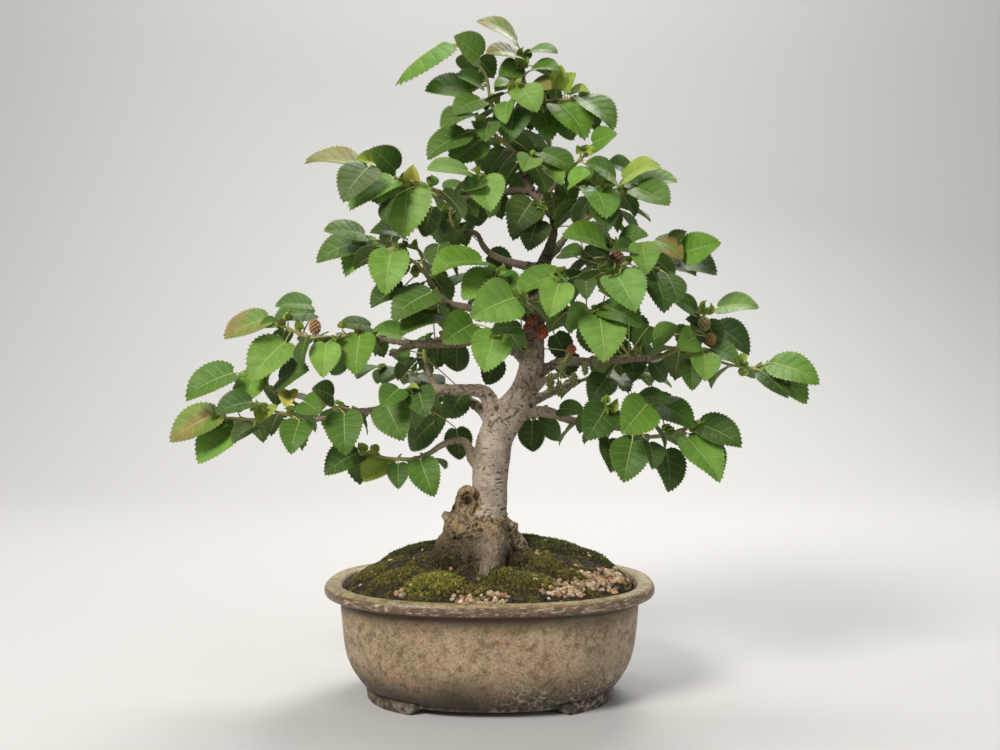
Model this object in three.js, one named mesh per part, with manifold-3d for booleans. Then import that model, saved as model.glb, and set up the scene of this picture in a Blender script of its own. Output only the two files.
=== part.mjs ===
// A mulberry bonsai about 600 mm tall, in an oval stoneware pot on four curved feet.
//
// Millimetres, +Z up. The origin is the middle of the pot's footprint, on the surface it stands on.
// +X is to the viewer's right and +Y runs away from the viewer. The tree is laid out as it is seen from
// the front: a place is given by where the eye sees it on the upright plane through the pot's middle,
// and by its depth behind that plane.
import * as THREE from "three";
import { mergeVertices } from "three/addons/utils/BufferGeometryUtils.js";
import Module from "manifold-3d";

const wasm = await Module();
wasm.setup();

// Driving dimensions
const RIM_HALF_LENGTH = 146;
const POT_WIDTH_SHARE = 0.74; // the pot's width as a share of its length
const PLAN_POWER = 2.3; // the pot's plan is a fuller curve than an ellipse, whose power is 2
const RIM_TOP = 101;
const BASE_HEIGHT = 5; // the underside of the pot's floor, above the surface
const FLOOR_TOP = 13;
const POT_SIDES = 32;
const DRAIN_HOLE = { radius: 11, x: 52, sides: 12 };
const SOIL_PEAK = 31; // how far the mound rises above the soil's edge
const SOIL_EDGE = RIM_TOP - 5; // the height of the soil where it meets the rim
const GAP = 0.3; // between pieces that rest on or stand in each other
const BLADE_THICKNESS = 0.7;
const BLADE_WIDTH_SHARE = 0.84; // a blade's width as a share of its length
const STALK = { halfWidth: 0.7, keel: 0.85, rootShare: 0.7 }; // half width, depth of keel, slimmer root
const TWIG_RADIUS = { root: 1.7, end: 1.35 };
const TWIG_SIDES = 3;
const TWIG_SPACE_SIDES = 6; // of the clear space round a twig
const BRANCH_SIDES = { trunk: 10, limb: 5, branch: 4 };
const BRANCH_RADIUS = { trunk: 14, limb: 6 }; // a tube that starts thicker than this counts as one
const SEED = 20240611;

// Where the eye is, and where on the front plane it sees the surface under the pot
const EYE = { x: 9, distance: 1026, height: 309 };
const SURFACE_SEEN_AT = 6;

// The trunk and the branches, thickest first: [seen x, seen z, depth, radius].
const BRANCHES = {
  trunk: [
    [-7, 84, 4, 20], [-8, 112, 2, 27], [-9, 132, 0, 29], [-7, 146, 0, 25], [-3, 160, 0, 18.5],
    [0, 176, 0, 15.6],
    [0, 196, 0, 16], [2, 216, 0, 16.4], [5, 232, 0, 15.8], [12, 247, 0, 16.4], [22, 260, 0, 14.5],
    [30, 273, 0, 12.4],
    [35, 287, 0, 11.6], [38, 303, 0, 10.8], [39, 320, 0, 9.6], [41, 342, 0, 8.6], [43, 364, 0, 8],
    [47, 384, 0, 7.2],
    [52, 398, 0, 5], [56, 411, 0, 4], [57, 427, 0, 3.8],
  ],
  leader: [
    [56, 411, 0, 3.6], [57, 428, 0, 3.9], [48, 443, 1, 4.1], [38, 451, 3, 4.2], [30, 467, 5, 3.7],
    [26, 487, 4, 3.2],
    [22, 505, 2, 2.9], [24, 522, 0, 2.6], [27, 535, 0, 2.3],
  ],
  root_front: [[-4, 158, -4, 13], [1, 141, -16, 12], [4, 122, -25, 9.5], [5, 104, -30, 8]],
  root_left: [[-14, 158, 0, 15], [-30, 143, -3, 13], [-43, 128, -4, 9], [-54, 112, -5, 6]],
  root_right: [[4, 154, 6, 14], [18, 143, 8, 9], [28, 132, 6, 6.5], [38, 116, 4, 5]],
  root_back: [[-4, 152, 8, 14], [-6, 142, 24, 10], [-10, 128, 38, 6]],
  burl_low: [[-8, 160, -4, 12], [-24, 152, -6, 17.5], [-31, 143, -5, 12]],
  burl_high: [[-8, 182, 0, 7], [-18, 172, 2, 9.5], [-26, 162, 0, 10]],
  knob_left: [[-26, 156, -5, 8], [-38, 162, -7, 4.5], [-42, 165, -7, 3]],
  knob_right: [[4, 150, 4, 11], [17, 152, 2, 6.5], [23, 154, 0, 3.5]],
  low_left: [
    [-6, 205, 0, 7], [-16, 213, -2, 4.4], [-19, 224, -3, 3.8], [-25, 230, -4, 3.4], [-34, 229, -5, 3.2],
    [-44, 225, -6, 2.9], [-53, 219, -8, 2.5], [-62, 215, -9, 2.2],
  ],
  long_left: [
    [7, 248, 0, 11], [1, 263, 0, 8.4], [-6, 273, 0, 6.6], [-20, 275, 2, 5.4], [-34, 275, 4, 5],
    [-47, 275, 6, 4.5],
    [-64, 267, 4, 3.9], [-84, 260, 0, 3.5], [-104, 257, -4, 3.1], [-120, 255, -6, 2.8],
    [-136, 255, -8, 2.5],
    [-153, 249, -10, 2.2], [-172, 247, -12, 2],
  ],
  left_rise: [[-47, 276, 6, 3.4], [-53, 286, 14, 2.6], [-57, 298, 22, 2.2]],
  mid_left: [
    [36, 296, 0, 7], [26, 307, -4, 5.4], [12, 317, -6, 5], [-8, 320, -4, 4.6], [-28, 317, 0, 4.4],
    [-48, 316, 0, 4.1],
    [-66, 316, 0, 3.7], [-84, 318, -3, 2.8], [-104, 321, -6, 2.4], [-126, 322, -8, 2],
  ],
  mid_left_fork: [[-62, 316, 0, 3], [-76, 311, 5, 2.2], [-90, 306, 10, 1.9]],
  high_left: [
    [41, 338, 0, 6], [24, 343, -10, 4.4], [4, 345, -20, 3.8], [-18, 348, -24, 3.2],
    [-37, 353, -22, 2.8],
    [-47, 363, -18, 2.4], [-57, 379, -14, 2],
  ],
  shoulder_left: [
    [38, 451, 3, 4], [22, 453, 0, 3.6], [4, 449, -6, 3.2], [-14, 447, -10, 2.8], [-32, 446, -12, 2.5],
    [-47, 448, -14, 2.2],
  ],
  inner_left: [
    [46, 383, 0, 5.4], [26, 387, 16, 4], [6, 393, 24, 3.4], [-5, 402, 26, 3], [-13, 415, 26, 2.6],
    [-28, 415, 28, 2.2],
  ],
  low_right: [
    [12, 243, 0, 11], [27, 252, 0, 6.4], [40, 256, -3, 5.1], [56, 254, -6, 4.4], [72, 248, -8, 3.8],
    [90, 245, -10, 3.2],
    [110, 242, -12, 2.8], [130, 235, -14, 2.4],
  ],
  mid_right: [
    [37, 285, 0, 7], [50, 294, 4, 5], [66, 300, 8, 4.4], [90, 300, 8, 3.8], [115, 301, 4, 3.2],
    [136, 303, 0, 2.8],
    [153, 305, -4, 2.4], [170, 308, -8, 2],
  ],
  pruned_stub: [[34, 270, 0, 6], [48, 283, -8, 3.4], [61, 288, -13, 2.8]],
  high_right: [
    [43, 356, 0, 6], [56, 367, -8, 4], [70, 372, -14, 3.4], [86, 375, -18, 2.8], [98, 380, -20, 2.4],
    [112, 383, -22, 2.1],
  ],
  shoulder_right: [[57, 426, 0, 3.4], [68, 432, -6, 2.8], [80, 438, -10, 2.3], [90, 444, -14, 2]],
  low_back: [[6, 240, 2, 10], [-6, 256, 26, 5.4], [-26, 270, 52, 4], [-44, 280, 74, 3]],
  low_back_right: [[20, 256, 2, 10], [40, 266, 28, 5], [62, 276, 54, 3.8], [80, 283, 74, 2.8]],
  mid_back: [[39, 318, 0, 7], [42, 330, 24, 4.6], [36, 344, 50, 3.6], [26, 356, 72, 2.8]],
  high_back: [[50, 392, 0, 5], [62, 404, 22, 3.6], [72, 418, 48, 2.8]],
};

// Leafy sprays. twig: [seen x, seen z, depth]; it starts on the branch that passes nearest its first point.
// leaves: [base x, base z, tip x, tip z, length, turn]. A leaf with turn 0 faces the eye, and with 90 it
// shows its edge.
const SPRAYS = {
  crown_tip: {
    twig: [[27, 533, 0], [30, 550, 0], [30, 570, 0]],
    leaves: [
      [23, 587, -11, 606, 41, 52], [26, 573, -3, 576, 34, 50], [36, 577, 60, 577, 28, 52],
      [38, 561, 62, 562, 29, 48],
      [27, 562, 8, 555, 25, 14],
    ],
  },
  crown_left: {
    twig: [[9, 495, -4], [3, 525, -8], [-3, 553, -8], [-12, 568, -8], [-23, 581, -8]],
    leaves: [
      [-42, 585, -86, 550, 58, 28], [-9, 572, -32, 590, 36, 22], [-18, 542, -58, 544, 42, 42],
      [-8, 547, -29, 556, 28, 42],
      [-8, 534, -33, 522, 32, 35],
    ],
  },
  crown_left_low: {
    twig: [[26, 484, 4], [8, 499, -16], [-6, 513, -24]],
    leaves: [
      [-14, 521, -44, 511, 38, 50], [-22, 504, -57, 484, 41, 42], [-1, 514, -4, 497, 24, 8],
      [-10, 497, -34, 475, 38, 18],
    ],
  },
  crown_centre: {
    twig: [[23, 512, 1], [18, 529, -14], [25, 543, -25]],
    leaves: [
      [28, 545, 42, 523, 31, 12], [24, 546, 4, 546, 26, 55], [16, 532, 13, 513, 25, 34],
      [22, 526, 17, 496, 34, 12],
    ],
  },
  crown_right: {
    twig: [[25, 526, 0], [42, 532, -3], [60, 533, -5], [79, 535, -6]],
    leaves: [
      [82, 536, 112, 508, 44, 46], [62, 530, 86, 500, 44, 30], [46, 529, 53, 498, 37, 12],
      [31, 526, 37, 508, 27, 20],
      [38, 548, 54, 545, 25, 22], [60, 544, 63, 565, 25, 12],
    ],
  },
  shoulder_tuft: {
    twig: [[50, 446, 0], [58, 458, -10], [70, 470, -16], [84, 484, -20]],
    leaves: [
      [92, 495, 113, 503, 28, 22], [46, 487, 76, 471, 37, 46],
    ],
  },
  shoulder_right_tip: {
    twig: [[90, 444, -14], [104, 450, -17], [126, 454, -19]],
    leaves: [
      [132, 462, 167, 461, 38, 52], [131, 455, 160, 440, 38, 32], [119, 463, 152, 476, 40, 52],
      [128, 466, 106, 478, 32, 46],
    ],
  },
  shoulder_right_inner: {
    twig: [[80, 438, -10], [92, 446, -28], [102, 456, -40]],
    leaves: [
      [112, 463, 86, 478, 34, 48], [93, 456, 105, 428, 38, 28], [99, 441, 106, 418, 29, 10],
      [110, 447, 132, 421, 37, 24],
      [71, 459, 89, 470, 26, 45],
    ],
  },
  shoulder_left_tip: {
    twig: [[-47, 448, -14], [-62, 458, -14], [-84, 464, -14], [-110, 473, -14]],
    leaves: [
      [-114, 475, -165, 478, 53, 62], [-84, 471, -106, 490, 37, 22],
      [-90, 462, -134, 457, 46, 54], [-109, 473, -131, 445, 42, 18],
    ],
  },
  shoulder_left_inner: {
    twig: [[-38, 447, -13], [-54, 455, -34], [-72, 461, -44]],
    leaves: [
      [-85, 461, -126, 437, 48, 48], [-73, 459, -78, 411, 50, 4],
      [-88, 446, -94, 424, 24, 52],
    ],
  },
  shoulder_left_front: {
    twig: [[4, 449, -6], [-6, 456, -38], [-10, 464, -66]],
    leaves: [[-20, 470, -56, 473, 38, 54], [-6, 464, 0, 434, 36, 4]],
  },
  shoulder_left_under: {
    twig: [[-28, 415, 28], [-35, 428, 27], [-33, 442, 26]],
    leaves: [
      [-51, 438, -60, 411, 31, 14], [-31, 438, -42, 414, 29, 20], [-13, 446, -9, 420, 33, 14],
      [-38, 452, -20, 458, 24, 40],
    ],
  },
  high_left_tip: {
    twig: [[-57, 379, -14], [-64, 400, -10], [-86, 405, -10], [-110, 410, -10]],
    leaves: [
      [-112, 413, -148, 417, 40, 54], [-116, 408, -156, 391, 45, 44], [-100, 407, -130, 378, 45, 36],
      [-76, 412, -107, 417, 34, 56],
    ],
  },
  high_left_inner: {
    twig: [[-50, 367, -17], [-64, 386, -36], [-84, 400, -46]],
    leaves: [[-88, 399, -93, 361, 42, 2], [-77, 367, -107, 350, 37, 42], [-45, 405, -48, 384, 28, 24]],
  },
  high_left_low: {
    twig: [[-37, 353, -22], [-44, 352, -34], [-52, 352, -42]],
    leaves: [[-52, 362, -88, 339, 46, 42], [-47, 343, -81, 327, 42, 42], [-50, 364, -68, 366, 23, 40]],
  },
  centre_left_upper: {
    twig: [[4, 345, -20], [2, 362, -44], [3, 377, -58]],
    leaves: [[-7, 389, -53, 382, 49, 58], [3, 377, -25, 357, 38, 28], [7, 378, 21, 358, 30, 24]],
  },
  front_centre: {
    twig: [[41, 340, 0], [36, 348, -44], [26, 355, -90]],
    leaves: [[22, 357, -17, 340, 44, 16], [28, 330, 2, 328, 28, 48]],
  },
  front_heart: {
    twig: [[38, 308, 0], [26, 318, -44], [8, 326, -86]],
    leaves: [[5, 326, -5, 291, 38, 6], [-15, 334, -42, 318, 36, 16]],
  },
  front_right_heart: {
    twig: [[44, 368, 0], [54, 376, -44], [62, 376, -84]],
    leaves: [[62, 370, 53, 340, 34, 8], [64, 377, 22, 362, 44, 52]],
  },
  mid_left_tip: {
    twig: [[-126, 322, -8], [-145, 322, -11], [-163, 322, -13], [-182, 331, -14]],
    leaves: [
      [-198, 339, -238, 322, 46, 46], [-160, 350, -192, 351, 34, 54], [-157, 342, -194, 336, 40, 50],
      [-183, 317, -215, 282, 50, 22],
    ],
  },
  mid_left_mid: {
    twig: [[-104, 321, -6], [-118, 325, -24], [-134, 322, -34]],
    leaves: [
      [-146, 316, -148, 287, 32, 4], [-116, 324, -120, 289, 38, 14], [-107, 331, -135, 334, 30, 56],
      [-164, 320, -167, 297, 26, 46],
    ],
  },
  mid_left_inner: {
    twig: [[-57, 298, 22], [-58, 312, 28], [-44, 322, 30]],
    leaves: [
      [-55, 312, -58, 290, 26, 30], [-29, 315, -30, 290, 29, 8],
      [-79, 322, -110, 326, 34, 54],
    ],
  },
  long_left_tip: {
    twig: [[-172, 247, -12], [-200, 248, -13], [-236, 250, -14]],
    leaves: [
      [-243, 254, -287, 230, 52, 46], [-235, 249, -259, 238, 28, 40], [-228, 243, -262, 211, 50, 32],
      [-210, 243, -230, 229, 30, 44],
    ],
  },
  long_left_upper: {
    twig: [[-151, 250, -10], [-172, 262, -12], [-190, 272, -13], [-208, 286, -14]],
    leaves: [
      [-229, 290, -273, 267, 50, 46], [-207, 289, -222, 262, 37, 14], [-188, 284, -162, 294, 36, 44],
    ],
  },
  long_left_mid: {
    twig: [[-160, 248, -11], [-181, 253, -32], [-201, 258, -42]],
    leaves: [
      [-212, 264, -245, 254, 38, 50], [-197, 262, -206, 246, 25, 14], [-170, 247, -178, 219, 35, 4],
    ],
  },
  long_left_heart: {
    twig: [[-120, 255, -6], [-132, 258, -26], [-144, 262, -36]],
    leaves: [
      [-130, 254, -128, 217, 41, 2], [-166, 265, -151, 254, 26, 22], [-140, 269, -158, 277, 29, 40],
    ],
  },
  long_left_inner: {
    twig: [[-84, 260, 0], [-80, 266, -22], [-74, 272, -38]],
    leaves: [[-92, 262, -78, 230, 38, 4], [-64, 276, -57, 251, 32, 2], [-81, 276, -97, 260, 28, 22]],
  },
  low_left_tip: {
    twig: [[-62, 215, -9], [-72, 213, -12], [-90, 214, -14], [-108, 217, -15]],
    leaves: [
      [-117, 219, -148, 200, 40, 42], [-96, 215, -112, 193, 34, 8], [-82, 209, -81, 187, 26, 4],
      [-62, 212, -50, 180, 36, 4],
    ],
  },
  low_left_back: {
    twig: [[-44, 280, 74], [-50, 262, 66], [-52, 250, 56]],
    leaves: [[-50, 246, -73, 222, 37, 28], [-30, 240, -26, 212, 30, 14], [-66, 266, -88, 256, 34, 40]],
  },
  low_right_tip: {
    twig: [[130, 235, -14], [148, 233, -17], [166, 238, -18], [182, 243, -19]],
    leaves: [
      [150, 262, 184, 243, 41, 46], [187, 244, 225, 224, 45, 40], [176, 232, 206, 193, 52, 36],
      [190, 228, 209, 203, 34, 30],
      [157, 222, 160, 184, 40, 30],
    ],
  },
  low_right_mid: {
    twig: [[110, 242, -12], [124, 244, -36], [136, 252, -54]],
    leaves: [
      [140, 262, 118, 236, 38, 4], [127, 229, 119, 193, 38, 8], [132, 268, 160, 266, 30, 52],
      [142, 228, 146, 204, 26, 36],
    ],
  },
  low_right_inner: {
    twig: [[90, 245, -10], [96, 250, -30], [104, 257, -44]],
    leaves: [[104, 260, 87, 230, 37, 4], [106, 231, 108, 201, 32, 30], [62, 258, 84, 256, 25, 46]],
  },
  low_right_hanging: {
    twig: [[40, 256, -3], [42, 254, 14], [40, 250, 26]],
    leaves: [[38, 247, 37, 219, 31, 18], [44, 247, 65, 232, 29, 46]],
  },
  mid_right_tip: {
    twig: [[170, 308, -8], [190, 306, -10], [212, 298, -12], [236, 294, -13]],
    leaves: [
      [252, 299, 295, 283, 50, 40], [246, 295, 283, 263, 52, 36], [243, 291, 267, 269, 36, 36],
      [197, 312, 222, 299, 32, 42],
    ],
  },
  mid_right_upper: {
    twig: [[160, 306, -6], [178, 320, -10], [185, 334, -13], [191, 342, -15]],
    leaves: [
      [204, 348, 240, 349, 38, 54], [203, 346, 226, 330, 32, 26], [201, 331, 233, 308, 42, 36],
      [184, 346, 163, 355, 26, 42],
    ],
  },
  mid_right_heart: {
    twig: [[153, 305, -4], [170, 311, -26], [184, 311, -38]],
    leaves: [
      [192, 307, 192, 283, 28, 2], [180, 301, 181, 275, 29, 4], [183, 322, 168, 313, 27, 6],
      [146, 320, 168, 331, 30, 44],
    ],
  },
  mid_right_inner: {
    twig: [[115, 301, 4], [125, 306, 18], [139, 309, 24]],
    leaves: [
      [147, 309, 135, 299, 24, 20], [126, 305, 128, 283, 28, 6], [145, 300, 157, 282, 25, 22],
      [104, 286, 90, 264, 32, 14],
    ],
  },
  high_right_tip: {
    twig: [[112, 383, -22], [130, 383, -26], [150, 386, -28], [164, 396, -29]],
    leaves: [
      [147, 408, 173, 393, 34, 32], [173, 397, 206, 406, 38, 18], [170, 391, 203, 380, 38, 40],
      [153, 390, 185, 378, 36, 48],
    ],
  },
  high_right_top: {
    twig: [[98, 380, -20], [104, 391, -19], [106, 400, -18]],
    leaves: [
      [103, 403, 64, 413, 43, 54], [116, 407, 140, 415, 30, 42],
      [63, 397, 84, 397, 26, 46],
    ],
  },
  high_right_mid: {
    twig: [[102, 381, -21], [120, 387, -44], [134, 398, -56]],
    leaves: [
      [136, 405, 140, 379, 31, 2], [146, 380, 156, 345, 39, 20], [158, 378, 167, 353, 30, 32],
    ],
  },
  high_right_front: {
    twig: [[86, 375, -18], [98, 378, -50], [110, 380, -76]],
    leaves: [[113, 377, 130, 345, 41, 14], [101, 350, 136, 332, 42, 42]],
  },
  front_right_long: {
    twig: [[40, 337, 0], [64, 343, -36], [93, 346, -74]],
    leaves: [[98, 341, 102, 301, 45, 8], [88, 347, 69, 330, 29, 12]],
  },
  heart_window: {
    twig: [[48, 443, 1], [44, 438, -6], [43, 430, -10]],
    leaves: [
      [38, 443, 20, 414, 37, 14], [42, 426, 34, 400, 31, 4], [55, 449, 57, 428, 24, 30],
      [19, 454, 43, 465, 30, 28],
    ],
  },
  leader_front: {
    twig: [[30, 467, 5], [34, 474, -14], [36, 482, -28]],
    leaves: [[37, 482, 30, 470, 24, 8]],
  },
};

// Sprays on the far side, which the eye doesn't see: their leaves are set by a rule along the twig
const FAR_SPRAYS = {
  back_low_left: { twig: [[-44, 280, 74], [-66, 288, 82], [-92, 292, 86]], leaves: 4 },
  back_low_right: { twig: [[80, 283, 74], [102, 289, 80], [129, 292, 84]], leaves: 4 },
  back_middle: { twig: [[26, 356, 72], [12, 366, 80], [-6, 374, 84]], leaves: 4 },
  back_high_right: { twig: [[72, 418, 48], [90, 430, 64], [108, 438, 80]], leaves: 4 },
  back_high_left: { twig: [[-14, 415, 26], [-46, 424, 52], [-62, 430, 76]], leaves: 4 },
  back_crown: { twig: [[28, 478, 4], [24, 492, 28], [16, 504, 50]], leaves: 4 },
};

// Unripe mulberries: [seen x, seen z, depth, half length, half width]
const FRUITS = {
  fruit_left: [-156, 331, -22, 7.5, 5.4],
  fruit_right_high: [113, 392, -33, 8, 6.2],
  fruit_right_upper: [191, 334, -29, 6.4, 5.6],
  fruit_right_lower: [197, 320, -21, 5.6, 5],
  fruit_trunk: [47, 327, -17, 7, 5.6],
};
const FRUIT_ROWS = 6;
const FRUIT_COLUMNS = 8;
const DRUPELET_HEIGHT = 0.1; // a drupelet's rise as a share of the berry's half width
const FRUIT_STALK = { berryEnd: 1.1, root: 0.9, sides: 4 };

// The same run of numbers each time, between 0 and 1
function seededRandom(seed) {
  let state = seed;
  return () => {
    state = (state + 0x6d2b79f5) | 0;
    let t = Math.imul(state ^ (state >>> 15), 1 | state);
    t = (t + Math.imul(t ^ (t >>> 7), 61 | t)) ^ t;
    return ((t ^ (t >>> 14)) >>> 0) / 4294967296;
  };
}

// The point that the eye sees at x, z on the front plane, carried to a depth
function seen(x, z, depth) {
  const k = (EYE.distance + depth) / EYE.distance;
  const height = EYE.height + (z - SURFACE_SEEN_AT - EYE.height) * k;
  return new THREE.Vector3(EYE.x + (x - EYE.x) * k, depth, height);
}

// A closed geometry as a solid, with shared corners merged and collapsed triangles left out
function solidOf(geometry) {
  const bare = new THREE.BufferGeometry();
  bare.setAttribute("position", geometry.getAttribute("position").clone());
  if (geometry.index) bare.setIndex(geometry.index.clone());
  const merged = mergeVertices(bare, 1e-4);
  const index = merged.index.array;
  const kept = [];
  for (let i = 0; i < index.length; i += 3) {
    const [a, b, c] = [index[i], index[i + 1], index[i + 2]];
    if (a !== b && b !== c && a !== c) kept.push(a, b, c);
  }
  const vertProperties = merged.attributes.position.array;
  return new wasm.Manifold(new wasm.Mesh({ numProp: 3, vertProperties, triVerts: new Uint32Array(kept) }));
}

function geometryOf(solid) {
  const mesh = solid.getMesh();
  const geometry = new THREE.BufferGeometry();
  geometry.setAttribute("position", new THREE.BufferAttribute(mesh.vertProperties.slice(), 3));
  geometry.setIndex(withoutNeedles(geometry.getAttribute("position"), mesh.triVerts).flat());
  geometry.computeVertexNormals();
  return geometry;
}

// Cutting leaves triangles that are as thin as a needle. One with a short side is drawn together there.
// In any other the third corner lies on the longest side, which is turned to end in that corner.
const NEEDLE = { height: 0.02, shortSide: 0.15, rounds: 400 };

function withoutNeedles(place, index) {
  const at = (i) => new THREE.Vector3().fromBufferAttribute(place, i);
  const apart = (i, j) => at(i).distanceTo(at(j));
  let triangles = [];
  for (let i = 0; i < index.length; i += 3) triangles.push([index[i], index[i + 1], index[i + 2]]);
  const isNeedle = (triangle) => heightOf(triangle.map(at)) < NEEDLE.height;
  let left = new Set();
  for (let round = 0; round < NEEDLE.rounds; round++) {
    const needle = triangles.find((triangle) => !left.has(triangle) && isNeedle(triangle));
    if (!needle) break;
    const turns = [0, 1, 2].map((k) => [needle[k], needle[(k + 1) % 3], needle[(k + 2) % 3]]);
    turns.sort((one, other) => apart(one[0], one[1]) - apart(other[0], other[1]));
    const [short, , long] = turns;
    const isShort = apart(short[0], short[1]) < NEEDLE.shortSide;
    const changed = (isShort && drawn(triangles, short)) || flipped(triangles, long);
    if (changed) triangles = changed;
    left = changed ? new Set() : left.add(needle);
  }
  return triangles;
}

function heightOf([a, b, c]) {
  const area = b.clone().sub(a).cross(c.clone().sub(a)).length();
  return area / Math.max(a.distanceTo(b), b.distanceTo(c), c.distanceTo(a));
}

function neighboursOf(triangles, corner) {
  return new Set(triangles.filter((triangle) => triangle.includes(corner)).flat());
}

// The triangles with a side's two corners drawn together, or null where that would pinch the surface
function drawn(triangles, [kept, lost]) {
  const around = neighboursOf(triangles, lost);
  const shared = [...neighboursOf(triangles, kept)].filter((corner) => around.has(corner));
  if (shared.length !== 4) return null;
  const moved = triangles.map((triangle) => triangle.map((corner) => (corner === lost ? kept : corner)));
  return moved.filter((triangle) => new Set(triangle).size === 3);
}

// The triangles with side a-b between two of them turned into side c-d, or null where there is one already
function flipped(triangles, [a, b, c]) {
  const next = triangles.find((triangle) => {
    return triangle.some((corner, k) => corner === b && triangle[(k + 1) % 3] === a);
  });
  const d = next.find((corner) => corner !== a && corner !== b);
  if (neighboursOf(triangles, c).has(d)) return null;
  const others = triangles.filter((triangle) => triangle !== next && !holds(triangle, a, b, c));
  return [...others, [a, d, c], [d, b, c]];
}

function holds(triangle, ...corners) {
  return corners.every((corner) => triangle.includes(corner));
}

// A closed mesh from points and triangles, as a solid
function solidFrom(points, triangles) {
  const geometry = new THREE.BufferGeometry().setFromPoints(points);
  geometry.setIndex(triangles.flat());
  return solidOf(geometry);
}

function largestBody(solid) {
  const bodies = solid.decompose();
  return bodies.reduce((best, body) => (body.volume() > best.volume() ? body : best));
}

// A round tube along points, whose radius changes from point to point
function taperedTube(points, radii, sides) {
  const rings = [];
  let across = new THREE.Vector3(0, 1, 0);
  points.forEach((point, i) => {
    const before = points[Math.max(i - 1, 0)];
    const after = points[Math.min(i + 1, points.length - 1)];
    const along = after.clone().sub(before).normalize();
    across = across.clone().addScaledVector(along, -across.dot(along)).normalize();
    const third = along.clone().cross(across);
    for (let s = 0; s < sides; s++) {
      const angle = (2 * Math.PI * s) / sides;
      const corner = point.clone().addScaledVector(across, radii[i] * Math.cos(angle));
      rings.push(corner.addScaledVector(third, radii[i] * Math.sin(angle)));
    }
  });
  const triangles = [];
  for (let i = 0; i + 1 < points.length; i++) {
    for (let s = 0; s < sides; s++) {
      const [a, b] = [i * sides + s, i * sides + ((s + 1) % sides)];
      triangles.push([a, b, b + sides], [a, b + sides, a + sides]);
    }
  }
  const last = (points.length - 1) * sides;
  for (let s = 1; s + 1 < sides; s++) {
    triangles.push([0, s + 1, s], [last, last + s, last + s + 1]);
  }
  return solidFrom(rings, triangles);
}

// A tube's points with both ends moved outwards
function lengthened(points, amount) {
  const longer = points.map((point) => point.clone());
  const last = points.length - 1;
  longer[0].addScaledVector(points[0].clone().sub(points[1]).normalize(), amount);
  longer[last].addScaledVector(points[last].clone().sub(points[last - 1]).normalize(), amount);
  return longer;
}

function seenPoints(rows) {
  return rows.map(([x, z, depth]) => seen(x, z, depth));
}

function branchTube(rows, grow) {
  const thickest = rows[0][3];
  let sides = BRANCH_SIDES.branch;
  if (thickest > BRANCH_RADIUS.limb) sides = BRANCH_SIDES.limb;
  if (thickest > BRANCH_RADIUS.trunk) sides = BRANCH_SIDES.trunk;
  const radii = rows.map((row) => row[3] + grow);
  return taperedTube(lengthened(seenPoints(rows), grow), radii, sides);
}

// The burl's healed ring stands out of the trunk's front, round a dark hollow
const CALLUS = { at: [-21, 176, -11], ring: 8, thickness: 3.9, wide: 0.85, tall: 1.12, turn: 0.35 };
const CALLUS_SIDES = { round: 10, thick: 5 };

function makeCallus(grow) {
  const { round, thick } = CALLUS_SIDES;
  const ring = new THREE.TorusGeometry(CALLUS.ring, CALLUS.thickness + grow, thick, round);
  ring.scale(CALLUS.wide, CALLUS.tall, 1);
  ring.rotateX(Math.PI / 2);
  ring.rotateZ(-CALLUS.turn);
  ring.translate(...seen(...CALLUS.at).toArray());
  return solidOf(ring);
}

function makeWood(grow) {
  const tubes = Object.values(BRANCHES).map((rows) => branchTube(rows, grow));
  return wasm.Manifold.union([...tubes, makeCallus(grow)]);
}

// The place on the pot's plan in a direction, for a half length
function planPoint(halfLength, x, y) {
  const radius = Math.hypot(x, y) || 1;
  const powers = Math.abs(x / radius) ** PLAN_POWER + Math.abs(y / radius) ** PLAN_POWER;
  const reach = halfLength * powers ** (-1 / PLAN_POWER);
  return [(x / radius) * reach, (y / radius) * reach * POT_WIDTH_SHARE];
}

// A solid of the pot's plan from a closed profile of half length and height. reshape may change a height.
function planSolid(profile, reshape = (x, y, z) => z) {
  const turnedProfile = profile.map(([halfLength, z]) => new THREE.Vector2(halfLength, z));
  const geometry = new THREE.LatheGeometry(turnedProfile, POT_SIDES);
  geometry.rotateX(Math.PI / 2);
  const place = geometry.getAttribute("position");
  for (let i = 0; i < place.count; i++) {
    const [roundX, roundY] = [place.getX(i), place.getY(i)];
    const [x, y] = planPoint(Math.hypot(roundX, roundY), roundX, roundY);
    place.setXYZ(i, x, y, reshape(x, y, place.getZ(i)));
  }
  return solidOf(geometry);
}

// The pot's profile as half lengths and heights: the wall outside with its rolled rim, and the wall inside
const OUTER_WALL = [
  [0, BASE_HEIGHT], [100, BASE_HEIGHT], [104, BASE_HEIGHT + 2], [113, 14], [120, 24], [128, 44], [132, 84],
  [141, 88.5], [RIM_HALF_LENGTH, 92], [RIM_HALF_LENGTH, 97.5], [141, RIM_TOP],
];
const INNER_WALL = [[98, FLOOR_TOP], [112, 30], [120, 52], [124, 84], [131, RIM_TOP]];

function drillAt(x) {
  const { radius, sides } = DRAIN_HOLE;
  const drill = new THREE.CylinderGeometry(radius, radius, 4 * FLOOR_TOP, sides);
  drill.rotateX(Math.PI / 2);
  drill.translate(x, 0, 0);
  return solidOf(drill);
}

function makePot() {
  const shell = planSolid([...OUTER_WALL, ...[...INNER_WALL].reverse(), [0, FLOOR_TOP]]);
  const drills = wasm.Manifold.union([drillAt(-DRAIN_HOLE.x), drillAt(DRAIN_HOLE.x)]);
  return wasm.Manifold.union([shell.subtract(drills), ...makeFeet()]);
}

// Each foot is a curved bracket that follows the edge of the pot's base
const FOOT = { from: 8, to: 52, steps: 6, outer: 106, inner: 90, height: 10 };

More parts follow.
